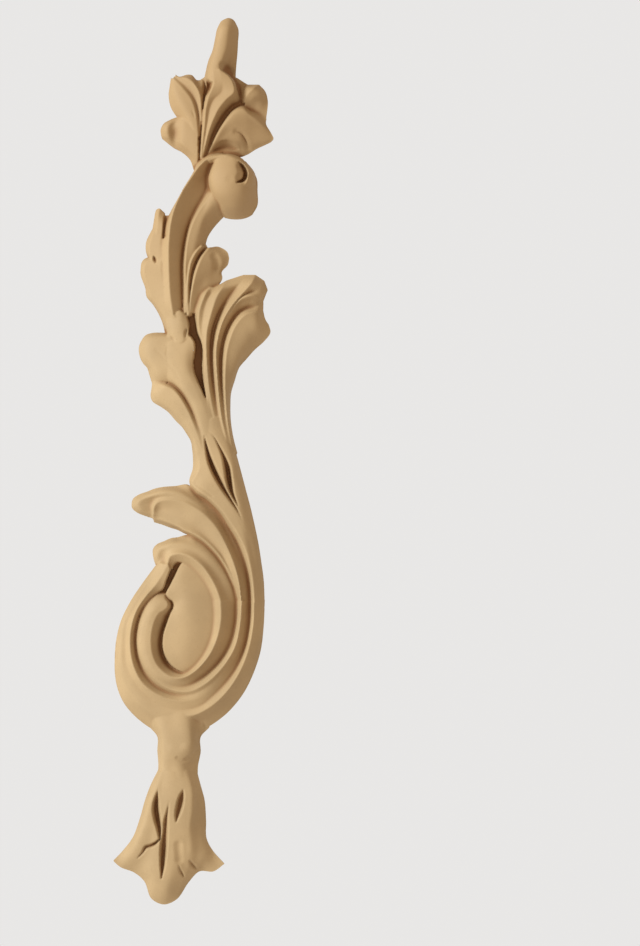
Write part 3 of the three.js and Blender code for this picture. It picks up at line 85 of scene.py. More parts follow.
# each leaf is drawn over rails of (x, y, level); a soft rail is rounded over, any other is a crisp arris
leaves = {
    "groundTop": {"soft": (), "rails": [  # beds under the leaves, which show only between them
        [(176, 95, 14), (184, 118, 20), (190, 140, 24), (195, 164, 28), (200, 190, 24)],
        [(206, 76, 20), (205, 92, 22), (204, 130, 34), (202, 163, 40), (212, 200, 24)],
        [(236, 78, 14), (238, 100, 16), (236, 125, 22), (222, 152, 24), (222, 200, 24)],
        [(258, 92, edge), (263.5, 112, edge), (263.5, 124, edge), (240, 152, 20), (234, 200, 24)],
    ]},
    "groundMiddle": {"soft": (), "rails": [
        [(161, 216, 18), (159, 240, 22), (161, 260, 24), (166, 300, 26), (168.5, 322, 20), (163, 345, 14),
         (157, 386, 14), (172, 412, 24), (196, 450, 34)],
        [(188, 214, 22), (196, 231, 22), (208, 251, 20), (206, 264, 24), (200, 285, 26), (197, 303, 26),
         (203, 330, 14), (207, 372, 14), (215, 410, 30), (222, 450, 38)],
    ]},
    "groundLow": {"soft": (), "rails": [
        [(140, 509, 14), (148, 515.5, 18), (156, 520.8, 20), (170, 525.5, 24), (185, 531, 26),
         (200, 548, 26), (214, 568, 26), (222, 600, 26)],
        [(140, 500, 14), (160, 494, 22), (187, 492, 26), (212, 508, 26), (232, 536, 26), (246, 575, 26),
         (250, 600, 26)],
    ]},
    "groundRing": {"soft": (), "rails": [
        [(250, 592, 24), (248, 645, 24), (236, 680, 24), (212, 702, 24), (180, 712, 24), (150, 705, 24),
         (130, 682, 22), (122, 650, 22), (126, 618, 22), (144, 590, 22), (158, 570, 22)],
        [(212, 590, 30), (212, 640, 30), (200, 664, 24), (186, 672, 20), (176, 670, 18), (168, 664, 16),
         (163, 656, 15), (160.5, 645, 15), (160, 632, 15), (164, 618, 16), (168, 602, 18), (170, 585, 18)],
    ]},
    "groundSlot": {"soft": (), "rails": [
        [(158, 572, 18), (152, 590, 20), (150, 606, 22)],
        [(170, 566, 15), (164, 585, 14), (160, 606, 15)],
        [(188, 562, 18), (182, 584, 18), (172, 608, 18)],
    ]},
    "finger": {"soft": (1, 2, 3), "rails": [  # half round, its crest left of its middle
        [(219.5, 22.5, edge), (216, 30, edge), (214, 40, edge), (211.5, 51, edge), (207.5, 61, edge),
         (205, 71, edge), (203.5, 80, 18), (206, 92, 30)],
        [(221.5, 20.8, 18), (219.5, 30, 42), (217.8, 40, 46), (215.3, 52, 47), (212, 62, 48),
         (209.5, 72, 50), (208, 84, 50)],
        [(227.5, 18.4, 18), (227, 29, 47), (226, 40, 50), (224.5, 51, 51), (221, 62, 53), (217.5, 72, 56),
         (215, 84, 60)],
        [(232, 19.8, 16), (233, 29, 34), (232.5, 40, 34), (231.5, 51, 31), (229, 62, 24), (226, 72, 22),
         (224, 84, 36)],
        [(234.5, 22.5, edge), (237.7, 30, edge), (237.3, 42, edge), (236.7, 53, edge), (235.7, 64, edge),
         (235, 74, edge), (235, 84, 14)],
    ]},
    "centre": {"soft": (), "rails": [  # two ribs with a hollow between, and a steep right side
        [(207, 77, 40), (210, 86, 32), (205, 95, 36), (203, 104, 42), (201.5, 118, 45), (200.5, 138, 47),
         (199.5, 160, 44)],
        [(212, 72, 56), (213, 84, 59), (208, 97, 60), (205, 110, 60), (204, 125, 58), (202, 142, 56),
         (200.5, 160, 48)],
        [(219, 70, 60), (222, 84, 60), (221, 93, 54), (213, 101, 52), (209, 110, 52), (207, 122, 52),
         (204.5, 138, 51), (201, 160, 46)],
        [(227.5, 75.5, 58), (232, 82, 60), (234, 93, 62), (226, 101, 63), (219, 109.5, 63),
         (214.5, 118, 62), (209.5, 130, 61), (205.5, 144, 57), (202, 161, 44)],
        [(235, 83, 24), (238, 92, 18), (240, 101, 18), (232, 107, 18), (226, 114, 18), (219.5, 124, 20),
         (214, 135, 22), (209.5, 146, 26), (203.5, 162, 34)],
    ]},
    "upperLeft": {"soft": (4,), "rails": [  # folded along its vein
        [(173.5, 74, 14), (178, 77, 14), (186, 75, 14), (191, 75.5, 15), (196, 80.5, 18), (202, 81, 24),
         (203, 97, 36), (201, 120, 44)],
        [(175, 77, 32), (188, 80, 46), (196, 88, 52), (200, 100, 52), (200.5, 120, 50), (199.5, 138, 48)],
        [(173, 77, 26), (184, 87, 38), (193, 99, 41), (197.5, 115, 42), (198.8, 138, 44)],
        [(172, 78.5, 32), (182, 89.5, 48), (190.8, 101, 52), (195.5, 116, 52), (197.8, 138, 49)],
        [(170.5, 79, 26), (173, 92, 42), (179, 104, 48), (187, 118, 49), (196, 139, 47)],
        [(170, 77.5, 14), (168.5, 87, edge), (167.5, 96, edge), (169.5, 107, edge), (175.5, 117, 16),
         (188, 132, 30), (196, 142, 44)],
    ]},
    "lowerLeft": {"soft": (1, 2), "rails": [  # with a dished tip
        [(170, 119.5, edge), (176, 117.5, 18), (183, 118, 38), (190, 122, 44), (198, 135, 50)],
        [(162.5, 124, 20), (167, 125.5, 34), (174, 125, 28), (182, 127, 42), (190, 131, 47),
         (198, 142, 50)],
        [(159.5, 130, 16), (166, 131.5, 36), (174, 133, 25), (181, 136, 40), (190, 143, 46),
         (198, 152, 48)],
        [(160, 136, 16), (167, 138, 30), (174, 141, 22), (181, 145, 38), (190, 152, 42), (198, 160, 44)],
        [(161, 139, edge), (167, 143.8, edge), (173, 148.3, edge), (181, 152.5, edge), (189, 160, edge),
         (193, 171, 14)],
    ]},
    "upperRight": {"soft": (3, 4), "rails": [  # folded at its top corner
        [(242, 106, 20), (239.5, 98, 18), (237, 92, 18), (236.5, 85.5, 14)],
        [(243, 104, 24), (243.5, 95, 36), (246, 89, 38), (248, 85, 14)],
        [(243.5, 103, 28), (247.5, 95, 46), (252.5, 90, 48), (258.5, 85, 16)],
        [(244, 104, 27), (253, 98, 41), (260, 94, 38), (264.5, 91.5, edge)],
        [(244, 106, 24), (253, 105, 25), (260.5, 103, 24), (267.3, 101, edge)],
        [(243, 110, 20), (252, 113, 14), (259, 117, edge), (265.5, 120, edge)],
    ]},
    "lowerRight": {"soft": (1, 2, 3), "rails": [  # pointed at its outer end
        [(203.5, 159, 32), (208.5, 149, 26), (213.5, 138, 22), (219.5, 127, 20), (226, 117, 20),
         (231, 111, 20), (241, 105.5, 20), (250, 109, 15), (259, 113, edge), (266, 118.5, edge)],
        [(204.5, 159, 36), (210, 149, 43), (215.5, 138, 49), (221.5, 128, 52), (229, 118.5, 53),
         (237, 111.5, 51), (244, 111, 49), (250, 116, 44), (257, 120, 34), (265.5, 124, edge)],
        [(205, 159.5, 37), (212, 151, 41), (219, 142, 44), (227, 134.5, 44), (238, 131.5, 42),
         (246, 126.5, 40), (254, 125, 33), (262, 128, 24), (271, 134, edge)],
        [(206, 160, 36), (220, 153, 34), (235, 148, 32), (247, 143, 26), (258, 141, 22), (266, 141, 17),
         (273, 139, edge)],
        [(208, 160, 34), (222, 156, 30), (238, 157.5, 22), (247, 154.5, edge), (256, 149, edge),
         (263, 145.8, edge), (270, 142.5, edge)],
    ]},
    "rim": {"soft": (2,), "rails": [  # the main scroll's rim and the deep gouge beside it
        [(222, 152, 34), (208, 155, 36), (197, 163, 32), (192, 173, 14), (186, 183, edge), (178, 197, edge),
         (170, 211, 14), (164, 225, 22), (162, 250, 30), (162, 285, 30), (167, 315, 28)],
        [(222, 156, 74), (209, 159, 74), (200, 166, 72), (190, 179, 70), (180, 194, 68), (172.5, 212, 66),
         (169, 230, 64), (168, 260, 62), (169, 290, 60), (172, 314, 56)],
        [(219, 160, 60), (210, 165, 52), (204, 174, 46), (197, 187, 44), (188, 204, 42), (181, 225, 40),
         (178, 255, 38), (178, 285, 38), (178, 314, 44)],
        [(219, 164, 54), (212, 176, 36), (204, 194, 28), (195, 210, 26), (188, 225, 26), (184, 240, 26),
         (181, 262, 26), (181, 287, 28), (182, 315, 36)],
    ]},
    "rimTop": {"soft": (1,), "rails": [  # the rim's end, rolled over the bulb
        [(208, 158, 40), (222, 154, 20), (236, 156, 14), (245, 162, edge), (254, 173, edge),
         (256, 184, edge), (254, 197, 16)],
        [(206, 159, 62), (222, 155, 62), (236, 157, 58), (246, 164, 60), (252, 174, 62), (252, 184, 64),
         (246, 193, 72)],
        [(207, 162, 72), (222, 157, 78), (235, 160, 82), (243, 166, 84), (247.5, 176, 86), (246, 185, 88),
         (240, 190, 90)],
        [(210, 165, 60), (222, 161, 74), (232, 163, 78), (239, 169, 74), (242.5, 176, 72), (240.5, 183, 78),
         (234, 187, 88)],
    ]},
    "underStrand": {"soft": (2,), "rails": [  # below the gouge, running up into the bulb
        [(213, 166, 40), (209, 182, 32), (203, 196, 28), (196, 209, 26), (189, 224, 26), (185, 240, 26),
         (182, 262, 26), (182, 287, 28), (182, 314, 36)],
        [(219, 180, 80), (212, 193, 60), (206, 202, 50), (198, 212, 48), (191, 226, 48), (187, 240, 47),
         (184.5, 260, 46), (184.5, 285, 45), (185, 314, 46)],
        [(220, 200, 56), (212, 208, 48), (205, 217, 44), (199, 232, 42), (194, 250, 40), (189, 268, 38),
         (187, 290, 38), (186, 314, 40)],
        [(224, 216, 14), (218, 222, edge), (212, 229, edge), (207, 237, edge), (204, 246, 18),
         (198, 256, 24), (192, 270, 28), (189, 290, 32), (188, 314, 38)],
    ]},
    "bulb": {"soft": (1, 2, 3, 4), "rails": [  # of the scroll
        [(212, 164, 44), (207, 180, 36), (210, 196, 34), (218, 209, 34), (224, 218, 14)],
        [(216, 161, 72), (211.5, 178, 82), (215, 194, 78), (223, 207, 56), (229, 219, 14)],
        [(226, 159, 80), (225, 176, 98), (228, 193, 94), (234, 207, 66), (237, 219.5, 14)],
        [(236, 160, 80), (240, 175, 92), (243, 192, 86), (244, 206, 58), (244, 218.5, 14)],
        [(244, 162, 40), (251, 176, 54), (252, 192, 52), (251, 205, 34), (250, 216, 14)],
        [(246, 164, 14), (256, 178, edge), (257, 192, edge), (257, 205, edge), (252, 214.5, edge)],
    ]},
    "edgeFirst": {"soft": (), "rails": [  # three lobes of the serrated left edge
        [(157.5, 208.5, 10), (155, 210, 8), (152.5, 222, 8), (150.5, 233, 8), (147, 245, edge),
         (150, 262, 30)],
        [(159, 208.8, 16), (157, 215, 28), (156, 226, 34), (155, 238, 36), (154.5, 250, 38),
         (158, 270, 42)],
        [(164, 213.5, 18), (162.5, 224, 36), (162, 238, 40), (162, 252, 43), (163, 270, 47)],
    ]},
    "edgeSecond": {"soft": (), "rails": [
        [(153, 226, 10), (148.5, 234, 8), (145, 242, 8), (144.5, 250, 8), (147, 259, 8), (152, 272, 30)],
        [(156, 226, 26), (151.5, 235, 32), (148.3, 244, 32), (148, 252, 33), (151, 262, 36),
         (157, 280, 43)],
        [(161, 228, 36), (160, 238, 40), (160, 248, 42), (161, 260, 44), (164, 285, 48)],
    ]},
    "edgeThird": {"soft": (), "rails": [
        [(150, 256, 10), (142, 260, 8), (139, 268, 8), (140, 277, 8), (144, 288, 8), (145.5, 297, 8),
         (152, 305, 8), (158, 315, 8), (162, 325, 8), (164, 334, 8)],
        [(153, 257, 30), (145.5, 262, 32), (142.3, 270, 33), (144, 280, 33), (148, 290, 33),
         (150.3, 298, 33), (156, 307, 34), (162, 317, 35), (166, 326, 36), (168.5, 335, 36)],
        [(162, 256, 44), (161, 263, 46), (161, 270, 46), (163, 285, 48), (165, 303, 48), (170, 320, 46),
         (173, 335, 46)],
    ]},
    "rimFoot": {"soft": (), "rails": [  # slope from the serrated edge up to the rim
        [(161, 240, 36), (161, 250, 43), (162, 265, 46), (163, 285, 48), (165, 305, 48), (170, 320, 46),
         (173, 334, 46)],
        [(169, 235, 64), (168, 250, 63), (168, 260, 62), (168.5, 280, 60), (170, 300, 58), (173, 314, 55),
         (180, 322, 52)],
    ]},
    "thirdRidge": {"soft": (), "rails": [  # thin, between the strand and the small leaf
        [(200, 244, 28), (194, 251, 32), (188.5, 262, 32), (186.5, 275, 36), (185, 300, 42),
         (186, 317, 42)],
        [(202, 246, 38), (196, 252, 46), (190.5, 262, 49), (188, 275, 49), (187, 300, 49), (188, 317, 45)],
        [(204, 248, 26), (198, 257, 28), (192.5, 270, 30), (190, 285, 32), (190, 300, 34), (192, 316, 36)],
    ]},
    "smallLeaf": {"soft": (2, 3), "rails": [  # on the right
        [(206, 248, 24), (198, 259, 26), (192, 274, 28), (190, 290, 34), (188, 314, 38)],
        [(209, 247.7, 34), (201.5, 257, 48), (196, 270, 50), (192, 285, 49), (189.5, 300, 47),
         (189, 314, 44)],
        [(218, 247, 14), (216, 257, 32), (209, 270, 34), (200, 286, 36), (193, 314, 38)],
        [(226.5, 252, edge), (222, 262, 22), (215, 272, 24), (206, 287, 30), (195, 314, 32)],
        [(228.5, 258, edge), (227, 265, edge), (221, 272, edge), (221.5, 279, 14), (208, 297, 24),
         (197, 314, 30)],
    ]},
    "fan": {"soft": (10,), "rails": [  # each flute falls from one crest and climbs steeply to the next
        [(206, 288.5, 24), (200.5, 294, 32), (196.5, 303, 34), (193.5, 311, 32), (194.5, 322, 28),
         (196.5, 333, 28), (201, 343, 30), (201.7, 356, 30), (201.3, 367, 32), (203, 386, 40),
         (206, 402, 47), (211, 420, 48), (214, 438, 46), (219, 454, 38)],
        [(209.5, 287.5, 32), (205.5, 293, 50), (201, 303, 54), (198, 314, 55), (197.5, 328, 53),
         (200, 340, 52), (203, 352, 52), (204, 372, 52), (206, 390, 51), (209, 410, 50), (215, 437, 46),
         (221, 454, 38)],
        [(213, 288, 34), (207.5, 298, 44), (204, 308, 48), (202, 320, 50), (201.5, 332, 52), (203, 343, 53),
         (205, 355, 53), (206, 372, 52), (207, 390, 50), (211, 412, 48), (217, 436, 45), (222.5, 454, 37)],
        [(226, 280.5, 14), (221.5, 288, 48), (216, 298, 55), (212.5, 309, 59), (209, 322, 60),
         (206.5, 334, 59), (206, 352, 58), (207, 370, 56), (209, 389, 53), (213, 412, 49), (219, 435, 46),
         (224, 454, 37)],
        [(243, 275, 14), (240, 283, 32), (232, 292, 30), (225, 302, 30), (218, 315, 29), (213, 330, 28),
         (210.5, 348, 30), (211, 368, 33), (213, 386, 36), (217, 410, 41), (221.5, 430, 44),
         (226, 453, 35)],
        [(255, 275, 14), (252, 282, 46), (246, 290, 54), (237, 300, 58), (229.5, 309.5, 60), (223, 321, 60),
         (218.5, 335, 60), (216, 355, 60), (217, 375, 58), (218.5, 395, 56), (221.5, 418, 52),
         (225.5, 435, 46), (229.5, 454, 35)],
        [(264, 281, edge), (262, 286.5, 28), (257, 290.5, 36), (250, 292.5, 38), (243, 296, 43),
         (236, 302.5, 48), (229.5, 312, 50), (224, 322, 50), (219.7, 335, 49), (217.3, 347, 48),
         (217.3, 365, 47), (219, 390, 48), (222.5, 418, 46), (226.3, 435, 43), (230.5, 454, 33)],
        [(267.3, 290, edge), (260, 297, 34), (254, 296, 48), (248, 296.3, 54), (242, 298.5, 55),
         (236, 304, 54), (230.5, 312.5, 52), (225.3, 322, 49), (221, 335, 46), (219, 347, 42),
         (218.7, 360, 40), (219.8, 385, 42), (222.8, 410, 44), (227, 435, 42), (231.5, 454, 32)],
        [(263, 301, edge), (256, 306, 26), (246, 308.5, 28), (238, 313, 30), (231.5, 321, 31),
         (226.5, 330, 31), (222.5, 342, 32), (220.5, 358, 33), (220.3, 375, 35), (221.7, 395, 39),
         (224.5, 418, 42), (228, 435, 41), (232.5, 454, 30)],
        [(262.8, 311, edge), (256, 312.5, 42), (247, 314, 53), (240, 319.5, 57), (234, 328, 59),
         (229.5, 339, 60), (226, 353, 60), (224.7, 368, 59), (224.7, 385, 57), (225.5, 400, 54),
         (227.2, 418, 49), (230, 435, 42), (234, 454, 28)],
        [(265, 319.5, edge), (258, 325, 40), (250, 335, 43), (243.5, 346, 43), (238, 358, 42),
         (234, 370, 40), (230, 385, 38), (228.6, 400, 36), (229.3, 418, 31), (231.7, 435, 26),
         (236, 454, 20)],
        [(268.5, 325, edge), (270, 332.5, edge), (264, 341, edge), (254, 350, edge), (246, 359, edge),
         (238.5, 368, edge), (234, 381, edge), (230.5, 393, edge), (229.8, 406, edge), (230.2, 420, edge),
         (232.5, 436, edge), (237, 454, edge)],
    ]},
    "tipLobe": {"soft": (1, 2), "rails": [  # blunt, over the end of the main scroll
        [(166, 314, 40), (166, 325, 42), (167, 339, 40)],
        [(172, 314, 48), (174, 327, 54), (175, 343, 50)],
        [(179, 311, 50), (181, 325, 57), (182, 343, 54)],
        [(186, 315, 44), (188.5, 324, 50), (188, 337, 50)],
    ]},
    "broadLobe": {"soft": (1,), "rails": [  # left of the long slot
        [(166, 333, 20), (158, 332.6, edge), (151, 333, edge), (144.5, 335.2, edge), (140, 341, edge),
         (137.6, 348, edge), (138.8, 357, edge), (142, 363.5, edge), (146, 368, edge), (148, 374, edge),
         (149.5, 379, edge), (151, 383.5, edge)],
        [(172, 336, 38), (160, 336.5, 36), (151, 339.5, 35), (146, 346, 35), (147, 357, 37), (152, 366, 39),
         (157, 375, 38), (161, 382, 28)],
        [(177, 338, 47), (168, 344, 46), (165, 352, 48), (167, 362, 50), (171, 373, 48), (175, 385, 32)],
    ]},
    "midLeaf": {"soft": (1, 2), "rails": [  # narrows towards the stem
        [(157, 350, 30), (157, 366, 32), (161, 379, 30), (173, 386, 30), (180, 392.5, 32), (186, 402, 35),
         (191.5, 412.5, 38), (196, 422, 42), (201.5, 436, 47)],
        [(166, 344, 45), (166, 360, 49), (171, 374, 50), (179, 385, 52), (187, 395, 53), (193, 405, 52),
         (197, 415, 51), (200, 425, 50), (204, 437, 49)],
        [(182, 337, 50), (184, 348, 54), (184, 358, 56), (186, 370, 57), (191, 383, 57), (197, 396, 56),
         (202, 408, 54), (208, 434, 50)],
        [(188, 334, 50), (193.5, 341, 52), (194.8, 348, 50), (193.5, 357, 47), (193, 367, 47),
         (196, 378, 50), (201, 388.5, 52), (207, 403, 50), (213, 420, 48), (218, 438, 45)],
    ]},
    "stemLobe": {"soft": (1,), "rails": [  # narrows into the stem
        [(151.2, 380.5, edge), (150.5, 388, edge), (149.5, 396, edge), (151.5, 401.5, edge),
         (160, 407, edge), (167, 412, edge), (175, 421, edge), (182, 428, edge), (187.5, 436, edge),
         (190.7, 444, edge), (192, 456, edge), (192, 468, edge), (189, 482, edge)],
        [(153.5, 382, 20), (155, 393, 32), (164, 401, 38), (174, 411, 40), (182, 420, 41), (188, 430, 42),
         (193, 441, 43), (196, 456, 42), (197, 470, 40), (194, 484, 38)],
        [(155, 382.5, 22), (164, 386, 42), (172, 389.5, 47), (178, 395.5, 50), (183, 403, 51),
         (188, 412, 51), (192, 421.5, 51), (196, 432, 50), (200, 444, 49), (203, 456, 48), (205, 470, 48),
         (206, 488, 46)],
        [(155.5, 380.5, 18), (165, 382.5, 28), (174, 386, 29), (181, 392.5, 31), (187, 402, 34),
         (192.3, 412.5, 37), (196.5, 422, 41), (200.5, 433, 46), (204, 446, 47), (206, 458, 47),
         (208, 470, 47), (209, 488, 45)],
    ]},
    "stem": {"soft": (3, 4), "rails": [  # its left ridge becomes the cartouche's outer ring
        [(190.7, 444, edge), (192, 456, edge), (192, 468, edge), (188.5, 482, 14), (194.5, 493, 26),
         (206, 500.8, 26), (218, 512.5, 26), (227, 526, 28), (236, 541, 27), (242, 556, 26),
         (246.5, 570, 26), (249, 584, 26), (250.2, 603, 25.2)],
        [(196, 441, 40), (198, 456, 45), (198, 470, 46), (191, 483, 43), (197, 490, 50), (208.5, 498, 51),
         (220.5, 510, 51), (229.5, 522, 51), (238, 535, 51), (245, 549, 51), (249.5, 566, 51),
         (252, 582, 51), (253.8, 603, 51.4)],
        [(202, 426, 49), (204, 450, 49), (206, 464, 50), (211, 478, 52), (219, 491, 52), (227, 502, 52),
         (235, 515, 50), (241, 529, 49), (247, 546, 48), (251, 564, 49), (254, 582, 49),
         (255.2, 603, 49.4)],
        [(212, 418, 50), (219, 446, 50), (226, 460, 50), (231, 475, 50), (235, 490, 49), (239, 505, 47),
         (244, 522, 45), (249, 541, 42), (253, 561, 42), (256, 581, 42), (257.2, 603, 41.2)],
        [(224, 415, 36), (229, 446, 40), (234, 462, 40), (238, 478, 38), (242, 492, 36), (246, 507, 33),
         (250, 524, 32), (255, 543, 31), (258, 562, 31), (260.5, 581, 31), (261.7, 603, 30.2)],
        [(228, 415, edge), (234, 447, edge), (238, 462, edge), (242, 477, edge), (246, 492, edge),
         (250, 507, edge), (254, 524, edge), (258, 543, edge), (261, 562, edge), (263.5, 581, edge),
         (264.4, 603, edge)],
    ]},
    "firstTip": {"soft": (1, 2), "rails": [  # with the cartouche's outer gouge
        [(152, 518.5, edge), (146, 516.5, edge), (139, 514, edge), (134.5, 511.5, edge), (131, 508, edge),
         (130.5, 503, edge), (132, 498.5, edge), (138, 494.3, edge), (146, 491.5, edge), (153, 488.7, edge),
         (162, 486.8, edge), (175, 485.8, edge), (187, 484.5, 20), (195, 492.5, 24), (207, 501.5, 26),
         (219, 513.5, 26), (228, 529, 28), (236.5, 545, 27), (243, 560, 26), (247.5, 580, 26),
         (249.8, 603, 25.2)],
        [(151, 515.5, 20), (145, 513, 24), (139, 509.5, 28), (136.5, 504.5, 30), (138.5, 500, 32),
         (146, 496.5, 36), (156, 493, 42), (168, 491, 46), (180, 492, 44), (192, 497, 38), (204, 505, 32),
         (215, 515, 30), (224, 528, 30), (232, 544, 31), (239, 561, 32), (244, 579, 33),
         (246.9, 603, 32.2)],
        [(152, 516.8, 20), (151, 513.5, 24), (150, 509.5, 26), (150, 505.5, 28), (151.3, 501.8, 30),
         (155, 498.7, 36), (163, 497, 43), (173, 497.3, 47), (184, 500, 48), (195, 505, 46), (204, 511, 45),
         (212, 518.5, 44), (219, 527.5, 44), (228, 544, 44), (235, 562, 45), (239.5, 581, 46),
         (241.2, 603, 45.2)],
        [(153, 517, 24), (152.6, 512.5, 38), (153.2, 507.5, 42), (155.2, 503.3, 44), (159.5, 500.8, 46),
         (167, 499.8, 49), (177, 500.8, 51), (186, 503.3, 52), (195, 508, 52), (203, 513.5, 53),
         (210, 520, 53), (217, 528.5, 53), (226, 544.5, 54), (234, 563, 54), (239.5, 582, 54),
         (241.8, 603, 53.2)],
    ]},
    "secondTip": {"soft": (3,), "rails": [  # the middle one of three
        [(153.2, 522.2, edge), (161, 524.5, edge), (169, 527.5, edge), (177, 530, edge), (184, 533.5, 16),
         (190, 535.5, 26), (197, 539, 27), (204, 543.5, 27), (211, 550, 27), (218, 558, 27), (224, 567, 27),
         (229, 577, 27), (233.5, 588, 26), (236.6, 603, 25.2)],
        [(152.2, 519, 24), (160, 520, 32), (168, 522.5, 38), (177, 526.5, 42), (185, 530.7, 45),
         (191, 532.8, 47), (198, 536.5, 48), (205, 541.5, 48), (212, 548, 48), (219, 556, 48),
         (225, 565.5, 46), (230, 576, 42), (234.5, 588, 34), (237.9, 603, 29.4)],
        [(151.7, 514.5, 38), (157, 514.5, 35), (164, 516.5, 36), (172, 519.5, 39), (180, 523, 42),
         (188, 526.5, 41), (194, 528.7, 40), (201, 533, 40), (208, 539, 40), (214.5, 545.5, 40),
         (221, 553.5, 40), (227, 563.5, 41), (232, 575, 41), (236.5, 588, 40), (239.4, 603, 38)],
        [(152.3, 508.5, 42), (158, 509, 35), (166, 509, 38), (175, 510, 42), (184, 513, 45),
         (193, 517.5, 48), (202, 523.5, 49), (210, 531, 50), (218, 540.5, 50), (225, 551, 50),
         (231, 563.5, 50), (236, 576, 50), (239, 588, 50), (241, 603, 48)],
        [(154.6, 502.6, 44), (160, 500.5, 46), (168, 499.8, 49), (177, 500.8, 51), (186, 503.3, 52),
         (195, 508, 52), (203, 513.5, 53), (210, 520, 53), (217, 528.5, 53), (226, 544.5, 54),
         (234, 563, 54), (239.5, 582, 54), (241.8, 603, 53.2)],
    ]},
    "thirdTip": {"soft": (1, 2), "rails": [  # with the start of the inner ring
        [(155, 566, edge), (152.5, 558, edge), (152, 549, edge), (156, 544, edge), (163, 541, edge),
         (170, 538, edge), (177, 537, edge), (184, 535, 16), (190, 534.5, 24), (197, 538, 26),
         (204, 542.5, 26), (211, 549, 26), (218, 557, 26), (224, 566, 26), (229, 576, 26), (233.5, 588, 26),
         (236.6, 603, 25.2)],
        [(157, 564, 22), (156, 556.5, 28), (158, 549.5, 32), (163, 546, 36), (170, 543.5, 39),
         (178, 543, 41), (186, 543.5, 42), (193, 545.5, 42), (200, 549, 41), (207, 554, 40),
         (214, 560.5, 38), (220, 568, 36), (226, 577, 34), (231, 588, 32), (234.8, 603, 28.7)],
        [(160, 563, 30), (162, 557, 30), (164, 552.5, 34), (169, 550, 42), (176, 549, 45), (184, 549.5, 46),
         (191, 551.5, 46), (198, 555.5, 46), (205, 561.5, 46), (211, 568.5, 45), (217, 577.5, 44),
         (222.5, 588, 43), (227.5, 603, 42.2)],
        [(167, 567, 44), (167.5, 561, 47), (169.5, 556, 50), (174, 553.8, 54), (182, 553.5, 57),
         (189, 556, 58), (196, 560.5, 59), (203, 567, 60), (208.5, 574.5, 60), (213.5, 583, 60),
         (217.5, 592, 60), (220.9, 603, 59.2)],
        [(172.5, 570, 28), (173.5, 565, 33), (177, 562, 36), (184, 563.5, 37), (190, 567, 37),
         (196, 573, 37), (202, 580.5, 37), (207, 589, 37), (210.5, 597, 37), (212.1, 603, 36.2)],
    ]},
    "band": {"soft": (1, 2), "rails": [  # down the right side, under the foot and up the left
        [(264.5, 600, edge), (263.5, 625, edge), (260.5, 650, edge), (254, 671, edge), (245, 690, edge),
         (235, 704, edge), (223, 716, edge), (205, 728, 14), (180, 737, 20), (160, 733, 14),
         (146, 725.5, edge), (133, 715, edge), (123, 703, edge), (117, 690, edge), (114, 676, edge),
         (113.5, 660, edge), (115, 640, edge), (120, 620, edge), (130, 600, edge), (140, 585, edge),
         (154, 566, edge)],
        [(261.5, 600, 31), (260.5, 625, 31), (257, 649, 31), (250, 669, 31), (240.5, 686.5, 30),
         (229.5, 699.5, 29), (216, 711, 27), (203, 719, 27), (180, 726, 28), (162, 724, 27),
         (150, 717.5, 26), (137, 708, 25), (127, 697, 24), (120.5, 685, 22), (116.5, 668, 22),
         (116.5, 655, 22), (117.5, 641, 22), (121, 621, 22), (131, 601, 22), (141, 586, 22),
         (157, 564, 26)],
        [(257, 600, 42), (256, 624, 42), (252.5, 647, 42), (245.5, 668, 42), (234.5, 686.5, 41),
         (221, 701, 40), (208, 711.5, 39), (198, 716, 39), (180, 720, 40), (163, 718, 39), (152, 712.5, 38),
         (140, 704, 36), (130, 692, 34), (122.5, 680, 32), (118.5, 665, 31), (117.5, 655, 31),
         (118.5, 641, 31), (122, 621, 31), (132, 602, 31), (142, 587, 31), (159, 562, 34)],
        [(253.5, 600, 52), (253, 622, 52), (249, 645, 52), (241.5, 666, 52), (231, 684.5, 52),
         (217.5, 700, 50), (205, 709, 50), (194, 714, 50), (180, 714, 46), (164, 712, 43), (154, 707, 41),
         (142, 698.5, 40), (131.5, 686, 38), (124, 672, 36), (120.5, 657, 36), (120.5, 645, 35),
         (124, 622, 35), (134, 604, 35), (145, 588, 35), (161, 562, 40)],
        [(250, 600, 26), (249, 622, 27), (245, 645, 28), (236.5, 666, 30), (226, 681.5, 32), (213, 695, 36),
         (199, 705.5, 40), (180, 709, 44), (163, 706, 43), (147, 696, 41), (134, 682, 40), (126, 665, 38),
         (124.5, 644, 37), (127, 622, 37), (137, 604, 37), (148, 587, 38), (163, 563, 45)],
        [(246.5, 600, 33), (245, 622, 34), (241, 645, 35), (232, 664, 37), (221, 679, 40), (209, 690, 43),
         (196, 698, 46), (182, 700, 50), (168, 698, 53), (154, 692, 54), (141, 681, 54), (133, 665, 54),
         (129.5, 645, 54), (131, 625, 54), (137, 607, 53), (146, 594, 52), (154, 585, 52), (161, 575, 52),
         (168, 563, 51)],
        [(243, 600, 46), (241.5, 622, 46), (237, 645, 46), (228, 663, 46), (217, 677, 46), (204, 688, 46),
         (192, 693.5, 44), (180, 694.5, 40), (168, 692, 36), (156, 686, 34), (145, 675, 33),
         (137.5, 660, 32), (134.5, 643, 32), (136, 625, 33), (141, 610, 34), (149, 599.5, 36),
         (156, 593, 38), (162.5, 589, 42), (166, 580, 49), (170.5, 569, 49)],
    ]},
    "ring": {"soft": (3,), "rails": [  # turns in to a round end beside the field
        [(243, 600, 46), (241.5, 622, 46), (237, 645, 46), (228, 663, 46), (217, 677, 46), (204, 688, 46),
         (192, 693.5, 44), (180, 694.5, 40), (168, 692, 36), (156, 686, 34), (145, 675, 33),
         (137.5, 660, 32), (134.5, 643, 32), (136, 625, 33), (141, 610, 34), (148, 600, 36),
         (154, 594.5, 30)],
